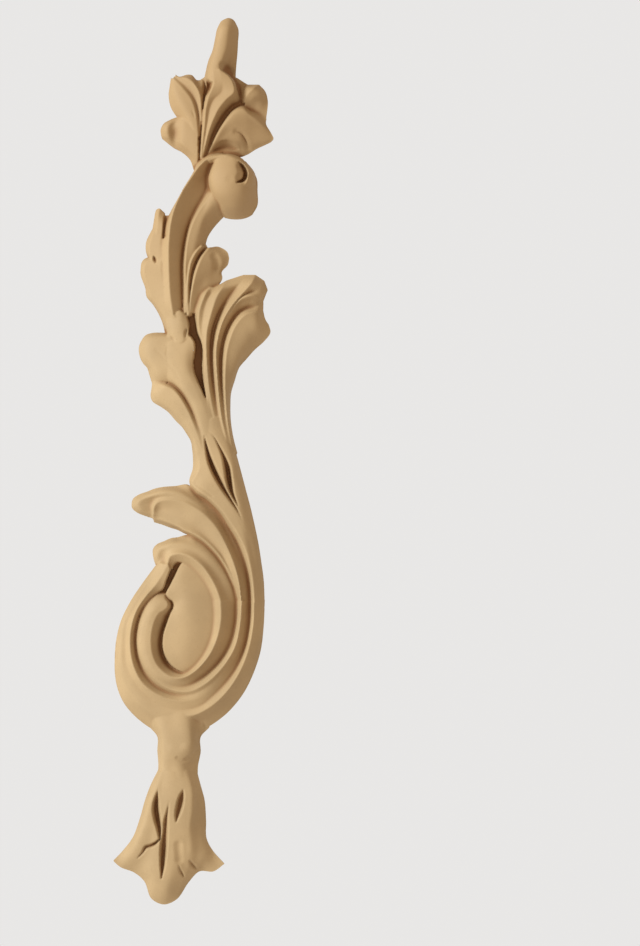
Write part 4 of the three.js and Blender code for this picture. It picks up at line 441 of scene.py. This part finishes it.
        [(241.5, 600, 54), (240, 622, 54), (235, 645, 54), (226, 661, 54), (214, 675, 54), (201, 685, 53),
         (190, 690, 51), (180, 690.5, 50), (169, 688, 49), (158, 681.5, 49), (148, 671, 49),
         (140.7, 657, 49), (137.6, 642, 49), (139.2, 626, 49), (143.6, 613, 48), (149.3, 603, 47),
         (155, 596.5, 42), (157.5, 592, 30)],
        [(236, 600, 26), (235, 622, 26), (230, 642, 26), (221, 658, 27), (209, 671, 30), (197, 680, 34),
         (187, 685, 40), (177, 686, 44), (167, 684, 47), (157, 678, 50), (149, 668, 53), (143, 655, 54),
         (140.4, 641, 54), (142, 627, 54), (145.7, 615, 54), (150.8, 606, 53), (157, 598, 46),
         (160, 591.5, 28)],
        [(228, 600, 42), (227, 622, 42), (222, 640, 42), (214, 654, 43), (203, 666, 45), (193, 675, 48),
         (183, 680, 51), (174, 681, 53), (165, 679, 54), (156, 673, 56), (150, 664, 57), (146, 653, 57),
         (144.5, 640, 57), (146, 628, 57), (149.5, 617, 57), (155, 607, 56), (160.5, 598.5, 47),
         (162.5, 591.5, 26)],
        [(220, 600, 60), (220.5, 618, 60), (216.5, 638, 60), (208.5, 655, 60), (197.5, 668, 60),
         (185, 675.5, 60), (173, 676.5, 60), (163, 671, 59), (156, 663, 58), (151.8, 652, 58),
         (150.6, 640, 58), (151.8, 628, 58), (154.7, 618.5, 57), (158.5, 612.5, 56), (163, 610, 54),
         (167, 606.5, 52), (167, 601.5, 50), (164, 598, 45), (165, 591.5, 24)],
        [(211.3, 600, 37), (212.3, 617, 37), (210, 636, 37), (203.5, 652, 37), (194, 664.5, 36),
         (184, 671.5, 32), (176, 670, 26), (169.3, 665.5, 21), (164.3, 659, 17), (161.5, 650.5, 14),
         (161, 641, 14), (162.7, 632, 14), (165.5, 624, 14), (168.5, 617, 16), (171.5, 611, 20),
         (173, 605.5, 22), (171, 599.5, 22), (168, 596, 20), (168, 591, 16)],
    ]},
    "field": {"soft": (1,), "rails": [  # oval, slightly domed
        [(176.5, 570, 42), (173, 577, 42), (169, 585, 42), (165.5, 593, 42), (168, 598, 41),
         (172, 601.5, 41), (172.7, 605.5, 41), (169.5, 613, 42), (166, 623, 43), (162.8, 633, 43),
         (161.8, 642, 43), (163, 651, 43), (167, 660, 43), (172, 666, 42), (179, 670.5, 41),
         (188, 673.5, 37)],
        [(180, 564, 36), (181, 572, 43), (182, 585, 47), (186, 600, 50), (188, 620, 51), (187, 640, 50),
         (186, 655, 47), (189, 673.5, 37)],
        [(186, 558, 34), (198, 568, 38), (206, 577, 38), (214, 590, 38), (217.5, 605, 38), (217, 622, 38),
         (214, 638, 38), (207, 653, 38), (198, 665, 38), (190, 673.5, 37)],
    ]},
    "neck": {"soft": (1, 2, 3, 4), "rails": [  # below the cartouche
        [(149, 727, edge), (156.5, 736.5, edge), (156.5, 750, edge), (157.5, 764, edge), (157, 774, edge)],
        [(156, 714, 36), (162, 737, 42), (162, 752, 42), (162, 764, 41), (162, 777, 44)],
        [(170, 712, 43), (175, 737, 51), (175, 752, 51), (172, 764, 47), (172, 777, 50)],
        [(186, 713, 46), (190, 736, 50), (190, 750, 49), (181, 763, 45), (183, 777, 50)],
        [(198, 717, 28), (197, 736, 26), (197, 752, 26), (191, 764, 26), (192.5, 777, 32)],
        [(209, 727, edge), (200, 737, edge), (200, 752, edge), (197.5, 765, edge), (197, 775, edge)],
    ]},
    "bell": {"soft": (1, 2, 3, 4, 5, 6, 7, 8, 9), "rails": [  # three flared petals
        [(157.5, 769, edge), (150, 784, edge), (144, 800, edge), (139.5, 816, edge), (132, 836.5, edge),
         (122, 850, edge), (112, 860.5, edge)],
        [(160, 770, 40), (154.5, 787, 46), (148.5, 803, 48), (144, 820, 47), (138, 836, 42),
         (130.5, 852, 32), (120, 867, edge)],
        [(165, 770, 46), (161, 790, 51), (157, 810, 51), (153, 830, 50), (149, 846, 44), (143, 860, 34),
         (133, 872, edge)],
        [(168, 770, 48), (166, 790, 54), (163, 812, 54), (159, 835, 53), (155, 856, 48), (150, 872, 38),
         (143.5, 881, edge)],
        [(172, 770, 49), (171, 790, 56), (169, 812, 57), (166, 835, 57), (163, 858, 53), (158, 881, 40),
         (150.5, 898, edge)],
        [(177, 770, 48), (178, 790, 57), (177, 812, 58), (175, 835, 58), (173, 860, 54), (167.5, 883, 42),
         (163, 904, edge)],
        [(182, 770, 46), (186, 790, 56), (186, 812, 57), (185, 835, 56), (184, 855, 50), (182, 875, 36),
         (176.5, 898.5, edge)],
        [(186, 770, 42), (192, 789, 52), (192.5, 808, 53), (190.5, 828, 53), (192, 848, 49), (193, 862, 37),
         (188, 882, edge)],
        [(190, 770, 32), (195.5, 788, 38), (196.5, 808, 38), (196, 828, 38), (199, 845, 37), (202, 859, 30),
         (199, 871, edge)],
        [(194, 770, 20), (198.5, 785, 24), (201.5, 800, 24), (201.5, 820, 24), (203.5, 838, 25),
         (208, 852, 23), (213, 871, edge)],
        [(196, 770, edge), (200, 785, edge), (204, 800, edge), (205.5, 820, edge), (206, 838, edge),
         (212, 850, edge), (224, 863.5, edge)],
    ]},
}

# slots and creases: the floor's path, half the width, and how far the sides rise
grooves = [
    {"halfWidth": 3.6, "rise": 16, "path": [(205, 80, 26), (207.5, 86, 20), (205.8, 92, 26),
                                            (203.7, 99, 38)]},
    {"halfWidth": 1.4, "rise": 5, "path": [(191, 111, 50), (194, 118, 48)]},
    {"halfWidth": 3.2, "rise": 14, "path": [(236, 132.5, 38), (241, 135, 32), (245, 141, 24),
                                            (247.5, 148, 18), (248.5, 154, edge)]},
    {"halfWidth": 7, "rise": 12, "path": [(214, 151, 32), (226, 148, 26), (238, 150, 24)]},
    {"halfWidth": 2.4, "rise": 20, "path": [(238.5, 164, 66), (242.5, 168, 58), (245, 173, 54),
                                            (245, 178, 54), (242.5, 182, 60), (237, 184, 70)]},
    {"halfWidth": 2.2, "rise": 12, "path": [(165, 213, 14), (164.3, 221, 22), (163.7, 231, 32),
                                            (163, 242, 41)]},
    {"halfWidth": 1.6, "rise": 6, "path": [(153, 257, 26), (155, 263, 30)]},
    {"halfWidth": 1.8, "rise": 6, "path": [(186, 330, 44), (184.8, 339, 50)]},
    {"halfWidth": 1.6, "rise": 5, "path": [(168, 336, 42), (171, 338.5, 42), (174, 341, 46)]},
    {"halfWidth": 3.2, "rise": 30, "path": [(203.5, 434, 46), (205, 442, 34), (208, 455, 22),
                                            (211, 464, 16), (216, 475, 18), (222.5, 487, 24),
                                            (230, 499, 32), (237, 510, 38), (243, 522, 44)]},
    {"halfWidth": 3.4, "rise": 30, "path": [(207, 431.5, 48), (213, 436, 44), (219, 447, 38),
                                            (224, 458, 28), (227, 468, 16), (228.8, 480, 14),
                                            (231.5, 492, 22), (236.5, 503, 36), (239, 508, 44)]},
    {"halfWidth": 3.6, "rise": 24, "path": [(157.5, 788, 46), (156, 798, 28), (155.5, 808, 22),
                                            (157, 818, 22), (159, 828, 26), (159.5, 839, 34)]},
    {"halfWidth": 1.8, "rise": 10, "path": [(159, 838, 34), (155, 842, 32), (149, 845, 32),
                                            (145.5, 846, 30), (142, 851.5, 30), (137, 857, 26)]},
    {"halfWidth": 3.8, "rise": 22, "path": [(169, 800, 52), (167, 810, 46), (165.3, 820, 38),
                                            (164.3, 832, 32), (163.3, 845, 28), (162.5, 857, 26),
                                            (162, 866, 26), (161, 877, 32)]},
    {"halfWidth": 3.4, "rise": 14, "path": [(183, 788, 50), (181, 797, 38), (179, 806, 38), (177, 814, 42),
                                            (176, 820, 48)]},
    {"halfWidth": 2.6, "rise": 14, "path": [(178, 863, 46), (180, 869, 36), (183.5, 876, 24)]},
    {"halfWidth": 4, "rise": 16, "path": [(189, 859, 38), (193, 865, 24), (198, 871, edge)]},
    {"halfWidth": 4.2, "rise": 16, "path": [(202, 720, 26), (204, 725, 14), (206, 729, 10)]},
]

# soft dents, and swellings where the depth is negative (metres)
marks = [
    {"halfWidth": 2.2, "depth": 8e-05, "path": [(155, 350), (165, 360), (172, 369), (178, 378)]},
    {"halfWidth": 1.8, "depth": 0.00018, "path": [(192, 483), (197, 485.5), (203, 489), (208, 493),
                                                  (212, 496)]},
    {"halfWidth": 5, "depth": 0.0009, "path": [(240, 168), (241.5, 174), (239.5, 180)]},
    {"halfWidth": 5, "depth": 0.0006, "path": [(222, 66), (226, 68), (231, 73)]},
    {"halfWidth": 5, "depth": 0.0004, "path": [(236, 133), (241, 135.5), (245, 141), (247.5, 148)]},
    {"halfWidth": 9, "depth": 0.0006, "path": [(216, 151), (227, 147), (239, 149)]},
    {"halfWidth": 6, "depth": 0.0006, "path": [(214, 257), (216, 262), (216, 268)]},
    {"halfWidth": 6, "depth": 0.0005, "path": [(178, 843), (178.5, 850), (179, 858)]},
    {"halfWidth": 3, "depth": 0.00035, "path": [(177, 757), (183, 759.5), (190, 756), (196, 750)]},
    {"halfWidth": 7, "depth": -0.00022, "path": [(172, 748), (180, 750), (186, 746)]},
    {"halfWidth": 3, "depth": 0.0002, "path": [(250, 301), (243, 302.5), (237, 307)]},
]

carving = {
    "alongStep": 0.00035,      # fineness of the drawn surfaces, metres
    "acrossStep": 0.00030,
    "readPerPoint": 40,        # places read for each point of a rail, before they are spread evenly
    "leastStations": 8,
    "fineGrid": 0.00015,       # the surface is read at this pitch
    "meshEvery": 2,            # and meshed at every second of these places
    "gridMargin": 3,           # cells of the mesh beyond the applique
    "gridStart": 1.5,          # readings before its left and lower edge
    "cornerRound": 0.00011,    # how far crisp arrises are worn
    "pathStep": 0.0006,        # along a groove or a mark
    "leastPathPoints": 6,
    "grooveEnds": 0.3,         # share of a groove's width left at its ends
    "groundRise": 0.0030,      # of a gap shut in between leaves
    "leastRise": 0.0006,       # wood left under the deepest groove
    "rimShare": 1.3,           # highest outline, as a share of the edge's thickness
    "halvings": 7,             # in the search for the outline between two places
    "weld": 0.00004,
    "hollowReach": 0.0011,     # how far round a place its slots are felt
    "pinchGap": 0.2,           # share of a face by which the outline draws back where it would touch itself
}


# a smooth run through points or whole rows of points, even in its bends however they are spaced
def smoothThrough(points, t):
    points = np.asarray(points, float)
    last = len(points) - 1
    step = (-1,) + (1,) * (points.ndim - 1)
    if last == 1:
        return points[0] + (points[1] - points[0]) * t.reshape(step)
    ends = np.concatenate([[2 * points[0] - points[1]], points, [2 * points[-1] - points[-2]]])
    place = np.clip(t, 0, 1) * last
    i = np.minimum(place.astype(int), last - 1)
    w = (place - i).reshape(step)
    p0, p1, p2, p3 = ends[i], ends[i + 1], ends[i + 2], ends[i + 3]
    gaps = [np.maximum(np.sum((a - b) ** 2, axis=-1, keepdims=True) ** 0.25, 1e-6)
            for a, b in ((p0, p1), (p1, p2), (p2, p3))]
    d0, d1, d2 = gaps
    t1 = ((p1 - p0) / d0 - (p2 - p0) / (d0 + d1) + (p2 - p1) / d1) * d1
    t2 = ((p2 - p1) / d1 - (p3 - p1) / (d1 + d2) + (p3 - p2) / d2) * d1
    return (p1 + t1 * w + (-3 * p1 + 3 * p2 - 2 * t1 - t2) * w ** 2
            + (2 * p1 - 2 * p2 + t1 + t2) * w ** 3)


def lengthAlong(points):
    return np.concatenate([[0], np.cumsum(np.linalg.norm(np.diff(points, axis=0), axis=1))])


# count points spread evenly along a rail
def evenly(points, count):
    fine = smoothThrough(points, np.linspace(0, 1, carving["readPerPoint"] * len(points)))
    run = lengthAlong(fine)
    at = np.linspace(0, run[-1], count)
    return np.stack([np.interp(at, run, fine[:, k]) for k in range(fine.shape[1])], axis=1)


# a leaf's surface: straight across between sharp rails, rounded through its soft ones
def drawLeaf(leaf):
    rails = [placeOnApplique(rail) for rail in leaf["rails"]]
    longest = max(lengthAlong(rail)[-1] for rail in rails)
    stations = int(longest / carving["alongStep"]) + carving["leastStations"]
    lines = np.stack([evenly(rail, stations) for rail in rails])
    rows = [lines[:1]]
    start = 0
    while start < len(rails) - 1:
        end = start + 1
        while end < len(rails) - 1 and end in leaf["soft"]:
            end += 1
        run = lines[start:end + 1]
        wide = np.linalg.norm(np.diff(run, axis=0), axis=2).max()
        count = (int(wide / carving["acrossStep"]) + 2) * (end - start)
        rows.append(smoothThrough(run, np.linspace(0, 1, count + 1))[1:])
        start = end
    return np.concatenate(rows)


def treeOf(surface):
    high, wide = surface.shape[:2]
    index = np.arange(high * wide).reshape(high, wide)
    quads = np.stack([index[:-1, :-1], index[:-1, 1:], index[1:, 1:], index[1:, :-1]], axis=-1)
    return BVHTree.FromPolygons(surface.reshape(-1, 3).tolist(), quads.reshape(-1, 4).tolist())


towardBack = Vector((0, 1, 0))
inFront = -2 * sheet["reliefDepth"]


# the height of a leaf over the back at a place, or none beside it
def heightAt(tree, x, z):
    hit = tree.ray_cast(Vector((x, inFront, z)), towardBack)[0]
    return -hit.y if hit is not None else None


lowest, highest = cadBox
pitch = carving["fineGrid"]
skip = carving["meshEvery"]
columns = skip * int((highest.x - lowest.x) / (pitch * skip) + carving["gridMargin"]) + 1
rowsUp = skip * int((highest.z - lowest.z) / (pitch * skip) + carving["gridMargin"]) + 1
gridX = (math.floor(lowest.x / pitch - carving["gridStart"]) + np.arange(columns)) * pitch
gridZ = (math.floor(lowest.z / pitch - carving["gridStart"]) + np.arange(rowsUp)) * pitch
noWood = -1.0                  # height written at places beside the applique
farOff = 1.0                   # a metre, well past anything here
relief = np.full((rowsUp, columns), noWood)

trees = []
for name, leaf in leaves.items():
    surface = drawLeaf(leaf)
    tree = treeOf(surface)
    left, right = surface[..., 0].min(), surface[..., 0].max()
    low, high = surface[..., 2].min(), surface[..., 2].max()
    trees.append((tree, left, right, low, high))
    for row in range(*np.searchsorted(gridZ, (low, high))):
        z = gridZ[row]
        for column in range(*np.searchsorted(gridX, (left, right))):
            rise = heightAt(tree, gridX[column], z)
            if rise is not None and rise > relief[row, column]:
                relief[row, column] = rise
print("leaves drawn:", len(trees))

# a gap shut in between leaves shows the ground they are carved from, not daylight
beside = relief <= 0
daylight = np.zeros_like(beside)
daylight[0], daylight[-1], daylight[:, 0], daylight[:, -1] = True, True, True, True
while True:
    wider = daylight.copy()
    wider[1:] |= daylight[:-1]
    wider[:-1] |= daylight[1:]
    wider[:, 1:] |= daylight[:, :-1]
    wider[:, :-1] |= daylight[:, 1:]
    wider &= beside
    if (wider == daylight).all():
        break
    daylight = wider
relief[beside & ~daylight] = carving["groundRise"]


# a blurred copy
def blurred(values, reach):
    spread = max(1, int(3 * reach / pitch))
    weights = np.exp(-0.5 * (np.arange(-spread, spread + 1) * pitch / reach) ** 2)
    weights /= weights.sum()
    for axis in (0, 1):
        values = sum(k * np.roll(values, s, axis) for k, s in zip(weights, range(-spread, spread + 1)))
    return values


# blurs over the wood alone, so that the outline isn't drawn down
def softened(values, wood, reach):
    share = np.maximum(blurred(wood.astype(float), reach), 1e-9)
    return np.where(wood, blurred(np.where(wood, values, 0.0), reach) / share, values)


# nearest point of a path to each place: how far off, how high the path runs there, and how far along it
def nearestOnPath(line, x, z):
    off = np.full(x.shape, farOff)
    level = np.zeros(x.shape)
    along = np.zeros(x.shape)
    for i in range(len(line) - 1):
        a, d = line[i], line[i + 1] - line[i]
        share = np.clip(((x - a[0]) * d[0] + (z - a[2]) * d[2]) / max(d[0] ** 2 + d[2] ** 2, 1e-14), 0, 1)
        away = np.hypot(x - a[0] - share * d[0], z - a[2] - share * d[2])
        nearer = away < off
        off = np.where(nearer, away, off)
        level = np.where(nearer, -(a[1] + share * d[1]), level)
        along = np.where(nearer, (i + share) / (len(line) - 1), along)
    return off, level, along


# the part of the grid within half a width of a path, and how each of its places lies to the path
def patchAlong(path, half):
    line = evenly(path, int(lengthAlong(path)[-1] / carving["pathStep"]) + carving["leastPathPoints"])
    rows = slice(*np.searchsorted(gridZ, (line[:, 2].min() - half, line[:, 2].max() + half)))
    cols = slice(*np.searchsorted(gridX, (line[:, 0].min() - half, line[:, 0].max() + half)))
    x, z = np.meshgrid(gridX[cols], gridZ[rows])
    return (rows, cols), nearestOnPath(line, x, z)


# a V cut down to its floor, narrowing towards both ends
def cutGroove(values, groove):
    half = groove["halfWidth"] * unit
    rise = groove["rise"] / 100 * sheet["reliefDepth"]
    patch, (off, floor, along) = patchAlong(placeOnApplique(groove["path"]), half)
    reach = half * np.maximum(carving["grooveEnds"], np.sqrt(np.sin(np.pi * np.clip(along, 0, 1))))
    cut = np.where(off < reach, floor + rise * off / reach, farOff)
    values[patch] = np.where(values[patch] > 0, np.minimum(values[patch], cut), noWood)


# a soft dent, or a swelling where its depth is negative, laid over whatever carving is there
def pressMark(values, mark):
    half = mark["halfWidth"] * unit
    patch, nearest = patchAlong(placeOnApplique([(x, y, 0) for x, y in mark["path"]]), half)
    across = 0.5 + 0.5 * np.cos(np.pi * np.minimum(nearest[0] / half, 1))
    values[patch] -= np.where(values[patch] > 0, mark["depth"] * across, 0)


wood = relief > 0
for groove in grooves:
    cutGroove(relief, groove)
for mark in marks:
    pressMark(relief, mark)
relief = softened(relief, wood, carving["cornerRound"])
relief = np.where(wood, np.maximum(relief, carving["leastRise"]), noWood)
hollows = blurred(np.maximum(relief, 0), carving["hollowReach"]) - relief   # above nought in slots; it sets where the painted shade falls
print("carving cut:", len(grooves), "grooves,", len(marks), "marks")


def onWood(x, z):
    for tree, left, right, low, high in trees:
        if left <= x <= right and low <= z <= high and heightAt(tree, x, z) is not None:
            return True
    return False


# where the outline crosses the line from a place on the wood to one beside it
def outlineBetween(inside, outside):
    for _ in range(carving["halvings"]):
        middle = ((inside[0] + outside[0]) / 2, (inside[1] + outside[1]) / 2)
        if onWood(*middle):
            inside = middle
        else:
            outside = middle
    return inside


applique = bpy.data.meshes.new("appliqueCarved")
bm = bmesh.new()
# how deep each place lies in a slot or hollow, which drives the painted shade
hollowLayer = bm.verts.layers.float.new("hollow")
coarse = relief[::skip, ::skip]
corners = {}
crossings = {}


def cornerVert(row, column):
    if (row, column) not in corners:
        vert = bm.verts.new((gridX[skip * column], -coarse[row, column], gridZ[skip * row]))
        vert[hollowLayer] = hollows[skip * row, skip * column]
        corners[row, column] = vert
    return corners[row, column]


def crossingVert(a, b):
    inside, outside = (a, b) if coarse[a] > 0 else (b, a)
    if (inside, outside) not in crossings:
        x, z = outlineBetween((gridX[skip * inside[1]], gridZ[skip * inside[0]]),
                              (gridX[skip * outside[1]], gridZ[skip * outside[0]]))
        near = relief[np.clip(round((z - gridZ[0]) / pitch), 0, rowsUp - 1),
                      np.clip(round((x - gridX[0]) / pitch), 0, columns - 1)]
        rise = min(near if near > 0 else coarse[inside], sheet["edgeThickness"] * carving["rimShare"])
        crossings[inside, outside] = bm.verts.new((x, -rise, z))
    return crossings[inside, outside]


for row in range(coarse.shape[0] - 1):
    for column in range(coarse.shape[1] - 1):
        cell = [(row, column), (row, column + 1), (row + 1, column + 1), (row + 1, column)]
        kept = [coarse[corner] > 0 for corner in cell]
        if not any(kept):
            continue
        outlineOfCell = []
        for k in range(4):
            if kept[k]:
                outlineOfCell.append(cornerVert(*cell[k]))
            if kept[k] != kept[(k + 1) % 4]:
                outlineOfCell.append(crossingVert(cell[k], cell[(k + 1) % 4]))
        bm.faces.new(outlineOfCell)
print("carved face:", len(bm.faces), "faces")

surfaceVerts = [*crossings.values(), *corners.values()]
bmesh.ops.remove_doubles(bm, verts=surfaceVerts, dist=carving["weld"])
strays = [e for e in bm.edges if e.is_wire]    # left where the weld closed a sliver
bmesh.ops.delete(bm, geom=strays, context="EDGES")
pinches = [v for v in bm.verts if sum(e.is_boundary for e in v.link_edges) > 2]
for pinch in pinches:                          # the outline is kept from touching itself
    for v in bmesh.utils.vert_separate(pinch, []):
        inward = sum((face.calc_center_median() for face in v.link_faces), Vector()) / len(v.link_faces)
        v.co = v.co.lerp(inward, carving["pinchGap"])
rimEdges = [e for e in bm.edges if e.is_boundary]
for e in rimEdges:
    e.smooth = False
wallParts = bmesh.ops.extrude_edge_only(bm, edges=rimEdges)["geom"]
backVerts = [v for v in wallParts if isinstance(v, bmesh.types.BMVert)]
backEdges = [e for e in wallParts if isinstance(e, bmesh.types.BMEdge)]
for v in backVerts:
    v.co.y = 0
for e in backEdges:
    e.smooth = False
fromVert = {}
for e in backEdges:
    for v in e.verts:
        fromVert.setdefault(v, []).append(e)
unwalked = set(backEdges)
for first in backEdges:
    if first not in unwalked:
        continue
    unwalked.remove(first)
    aroundBack = [first.verts[0]]
    v = first.verts[1]
    while v != aroundBack[0]:
        aroundBack.append(v)
        e = next(e for e in fromVert[v] if e in unwalked)
        unwalked.remove(e)
        v = e.other_vert(v)
    bm.faces.new(aroundBack)                   # the flat back is one face round the outline
    print("outline:", len(aroundBack), "corners of", len(backVerts))
bmesh.ops.recalc_face_normals(bm, faces=bm.faces)
for face in bm.faces:
    face.smooth = True
for v in bm.verts:                             # nothing stands outside the fixed box
    v.co.x = min(max(v.co.x, lowest.x), highest.x)
    v.co.y = min(max(v.co.y, lowest.y), highest.y)
    v.co.z = min(max(v.co.z, lowest.z), highest.z)
openEdges = sum(1 for e in bm.edges if not e.is_manifold)
bm.to_mesh(applique)
bm.free()
applique.calc_loop_triangles()
print("applique:", len(applique.loop_triangles), "triangles,", openEdges, "open edges")

piece = bpy.data.objects.new("appliqueCarved", applique)
bpy.context.collection.objects.link(piece)
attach(piece, "root")
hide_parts("applique")

woodFinish = {
    "light": (0.400, 0.240, 0.101, 1),      # sanded crests
    "dark": (0.348, 0.208, 0.087, 1),
    "slot": (0.200, 0.072, 0.016, 1),       # painted shade, darkest deep in the slots and hollows
    "fleck": (0.250, 0.135, 0.052, 1),
    "topShadeTone": (0.335, 0.186, 0.071, 1),    # painted shade: the upper end is a little darker and deeper in colour
    "topFrom": 0.020,                       # of the height over the origin, metres
    "topFull": 0.100,
    "topShare": 0.75,
    "roughness": 0.72,
    "shine": 0.25,
    "mottle": {"scale": 55, "detail": 5, "roughness": 0.6},
    "mottleRange": (0.32, 0.68),
    "grain": {"scale": 2300, "detail": 3, "roughness": 0.7},
    "fleckRange": (0.56, 0.74),             # of the grain
    "fleckShare": 0.35,
    "grainDepth": 0.00005,
    "grainStrength": 0.6,
    "slotRange": (0.00004, 0.0010),         # of the hollows, metres
    "slotShare": 0.8,
}


def pressedWood():
    material = bpy.data.materials.new("pressedWood")
    material.use_nodes = True
    nodes, links = material.node_tree.nodes, material.node_tree.links
    shader = nodes["Principled BSDF"]
    shader.inputs["Roughness"].default_value = woodFinish["roughness"]
    shader.inputs["Specular IOR Level"].default_value = woodFinish["shine"]
    where = nodes.new("ShaderNodeTexCoord")

    def noise(scale, detail, roughness):
        node = nodes.new("ShaderNodeTexNoise")
        node.inputs["Scale"].default_value = scale
        node.inputs["Detail"].default_value = detail
        node.inputs["Roughness"].default_value = roughness
        links.new(where.outputs["Object"], node.inputs["Vector"])
        return node.outputs["Fac"]

    def ramp(value, low, high):
        node = nodes.new("ShaderNodeMapRange")
        node.interpolation_type = "SMOOTHSTEP"
        node.inputs["From Min"].default_value = low
        node.inputs["From Max"].default_value = high
        links.new(value, node.inputs["Value"])
        return node.outputs["Result"]

    def blend(share, first, second, strength=1.0):
        node = nodes.new("ShaderNodeMix")
        node.data_type = "RGBA"
        if strength < 1:
            scaled = nodes.new("ShaderNodeMath")
            scaled.operation = "MULTIPLY"
            scaled.inputs[1].default_value = strength
            links.new(share, scaled.inputs[0])
            share = scaled.outputs[0]
        links.new(share, node.inputs["Factor"])
        for socket, colour in ((node.inputs["A"], first), (node.inputs["B"], second)):
            if isinstance(colour, tuple):
                socket.default_value = colour
            else:
                links.new(colour, socket)
        return node.outputs["Result"]

    mottle = ramp(noise(**woodFinish["mottle"]), *woodFinish["mottleRange"])
    colour = blend(mottle, woodFinish["dark"], woodFinish["light"])
    upright = nodes.new("ShaderNodeSeparateXYZ")
    links.new(where.outputs["Object"], upright.inputs["Vector"])
    # painted shade, growing with height from topFrom to topFull
    top = ramp(upright.outputs["Z"], woodFinish["topFrom"], woodFinish["topFull"])
    colour = blend(top, colour, woodFinish["topShadeTone"], woodFinish["topShare"])
    grain = noise(**woodFinish["grain"])
    flecks = ramp(grain, *woodFinish["fleckRange"])
    colour = blend(flecks, colour, woodFinish["fleck"], woodFinish["fleckShare"])
    # painted shade: the deeper a place lies in a slot or hollow, the more of the dark slot colour is mixed
    # in
    hollow = nodes.new("ShaderNodeAttribute")
    hollow.attribute_name = "hollow"
    slots = ramp(hollow.outputs["Fac"], *woodFinish["slotRange"])
    colour = blend(slots, colour, woodFinish["slot"], woodFinish["slotShare"])
    links.new(colour, shader.inputs["Base Color"])
    bump = nodes.new("ShaderNodeBump")
    bump.inputs["Strength"].default_value = woodFinish["grainStrength"]
    bump.inputs["Distance"].default_value = woodFinish["grainDepth"]
    links.new(grain, bump.inputs["Height"])
    links.new(bump.outputs["Normal"], shader.inputs["Normal"])
    return material


piece.data.materials.append(pressedWood())
print("wood finished")

studio = {
    "pale": (0.81, 0.80, 0.79, 1),
    "floorSize": 0.9,
    "floorDrop": 0.115,                    # below the foot
    "floorRoughness": 0.9,
    "keyFrom": (-0.75, 0.27, 0.56),        # right, up and forward as the camera sees it
    "keyAway": 1.3,
    "keySize": 0.5,
    "keyWatts": 24.5,
    "keyColour": (0.79, 1.0, 1.28),        # cool, so that shade stays warm
}
photoView = {
    "centre": (320, 473),                  # of the picture, on the sheet
    "tall": 946,
    "away": 1.6,
    "sensor": 36,                          # millimetres, down the picture
    "nearest": 0.05,
    "farthest": 30,
}

viewRight = Vector((math.cos(lean), 0, math.sin(lean)))
viewUp = Vector((-math.sin(lean), 0, math.cos(lean)))
viewOut = Vector((0, -1, 0))
turned = Matrix((viewRight, viewUp, viewOut)).transposed()

middle = Vector(placeOnApplique((*photoView["centre"], 0)).tolist())
camera = bpy.data.objects.new("camera", bpy.data.cameras.new("camera"))
halfTall = photoView["tall"] / 2 * unit
camera.data.sensor_width = photoView["sensor"]
camera.data.lens = photoView["sensor"] / 2 / (halfTall / photoView["away"])
camera.data.clip_start = photoView["nearest"]
camera.data.clip_end = photoView["farthest"]
camera.matrix_world = Matrix.Translation(middle + viewOut * photoView["away"]) @ turned.to_4x4()
bpy.context.collection.objects.link(camera)
bpy.context.scene.camera = camera

keyWay = (viewRight * studio["keyFrom"][0] + viewUp * studio["keyFrom"][1]
          + viewOut * studio["keyFrom"][2]).normalized()
key = bpy.data.objects.new("keyLight", bpy.data.lights.new("keyLight", "AREA"))
key.data.shape = "DISK"
key.data.size = studio["keySize"]
key.data.energy = studio["keyWatts"]
key.data.color = studio["keyColour"]
key.location = keyWay * studio["keyAway"]
key.rotation_euler = keyWay.to_track_quat("Z", "Y").to_euler()
bpy.context.collection.objects.link(key)

world = bpy.data.worlds.new("paleStudio")
world.use_nodes = True
world.node_tree.nodes["Background"].inputs["Color"].default_value = studio["pale"]
bpy.context.scene.world = world
bpy.context.scene.view_settings.view_transform = "Standard"

half = studio["floorSize"] / 2
floorAt = lowest.z - studio["floorDrop"]
floorMesh = bpy.data.meshes.new("floor")
floorMesh.from_pydata([(-half, -half, floorAt), (half, -half, floorAt), (half, half, floorAt),
                       (-half, half, floorAt)], [], [(0, 1, 2, 3)])
floor = bpy.data.objects.new("floor", floorMesh)
bpy.context.collection.objects.link(floor)
floorPaint = bpy.data.materials.new("palePaint")
floorPaint.use_nodes = True
floorShader = floorPaint.node_tree.nodes["Principled BSDF"]
floorShader.inputs["Base Color"].default_value = studio["pale"]
floorShader.inputs["Roughness"].default_value = studio["floorRoughness"]
floorMesh.materials.append(floorPaint)
print("studio set")
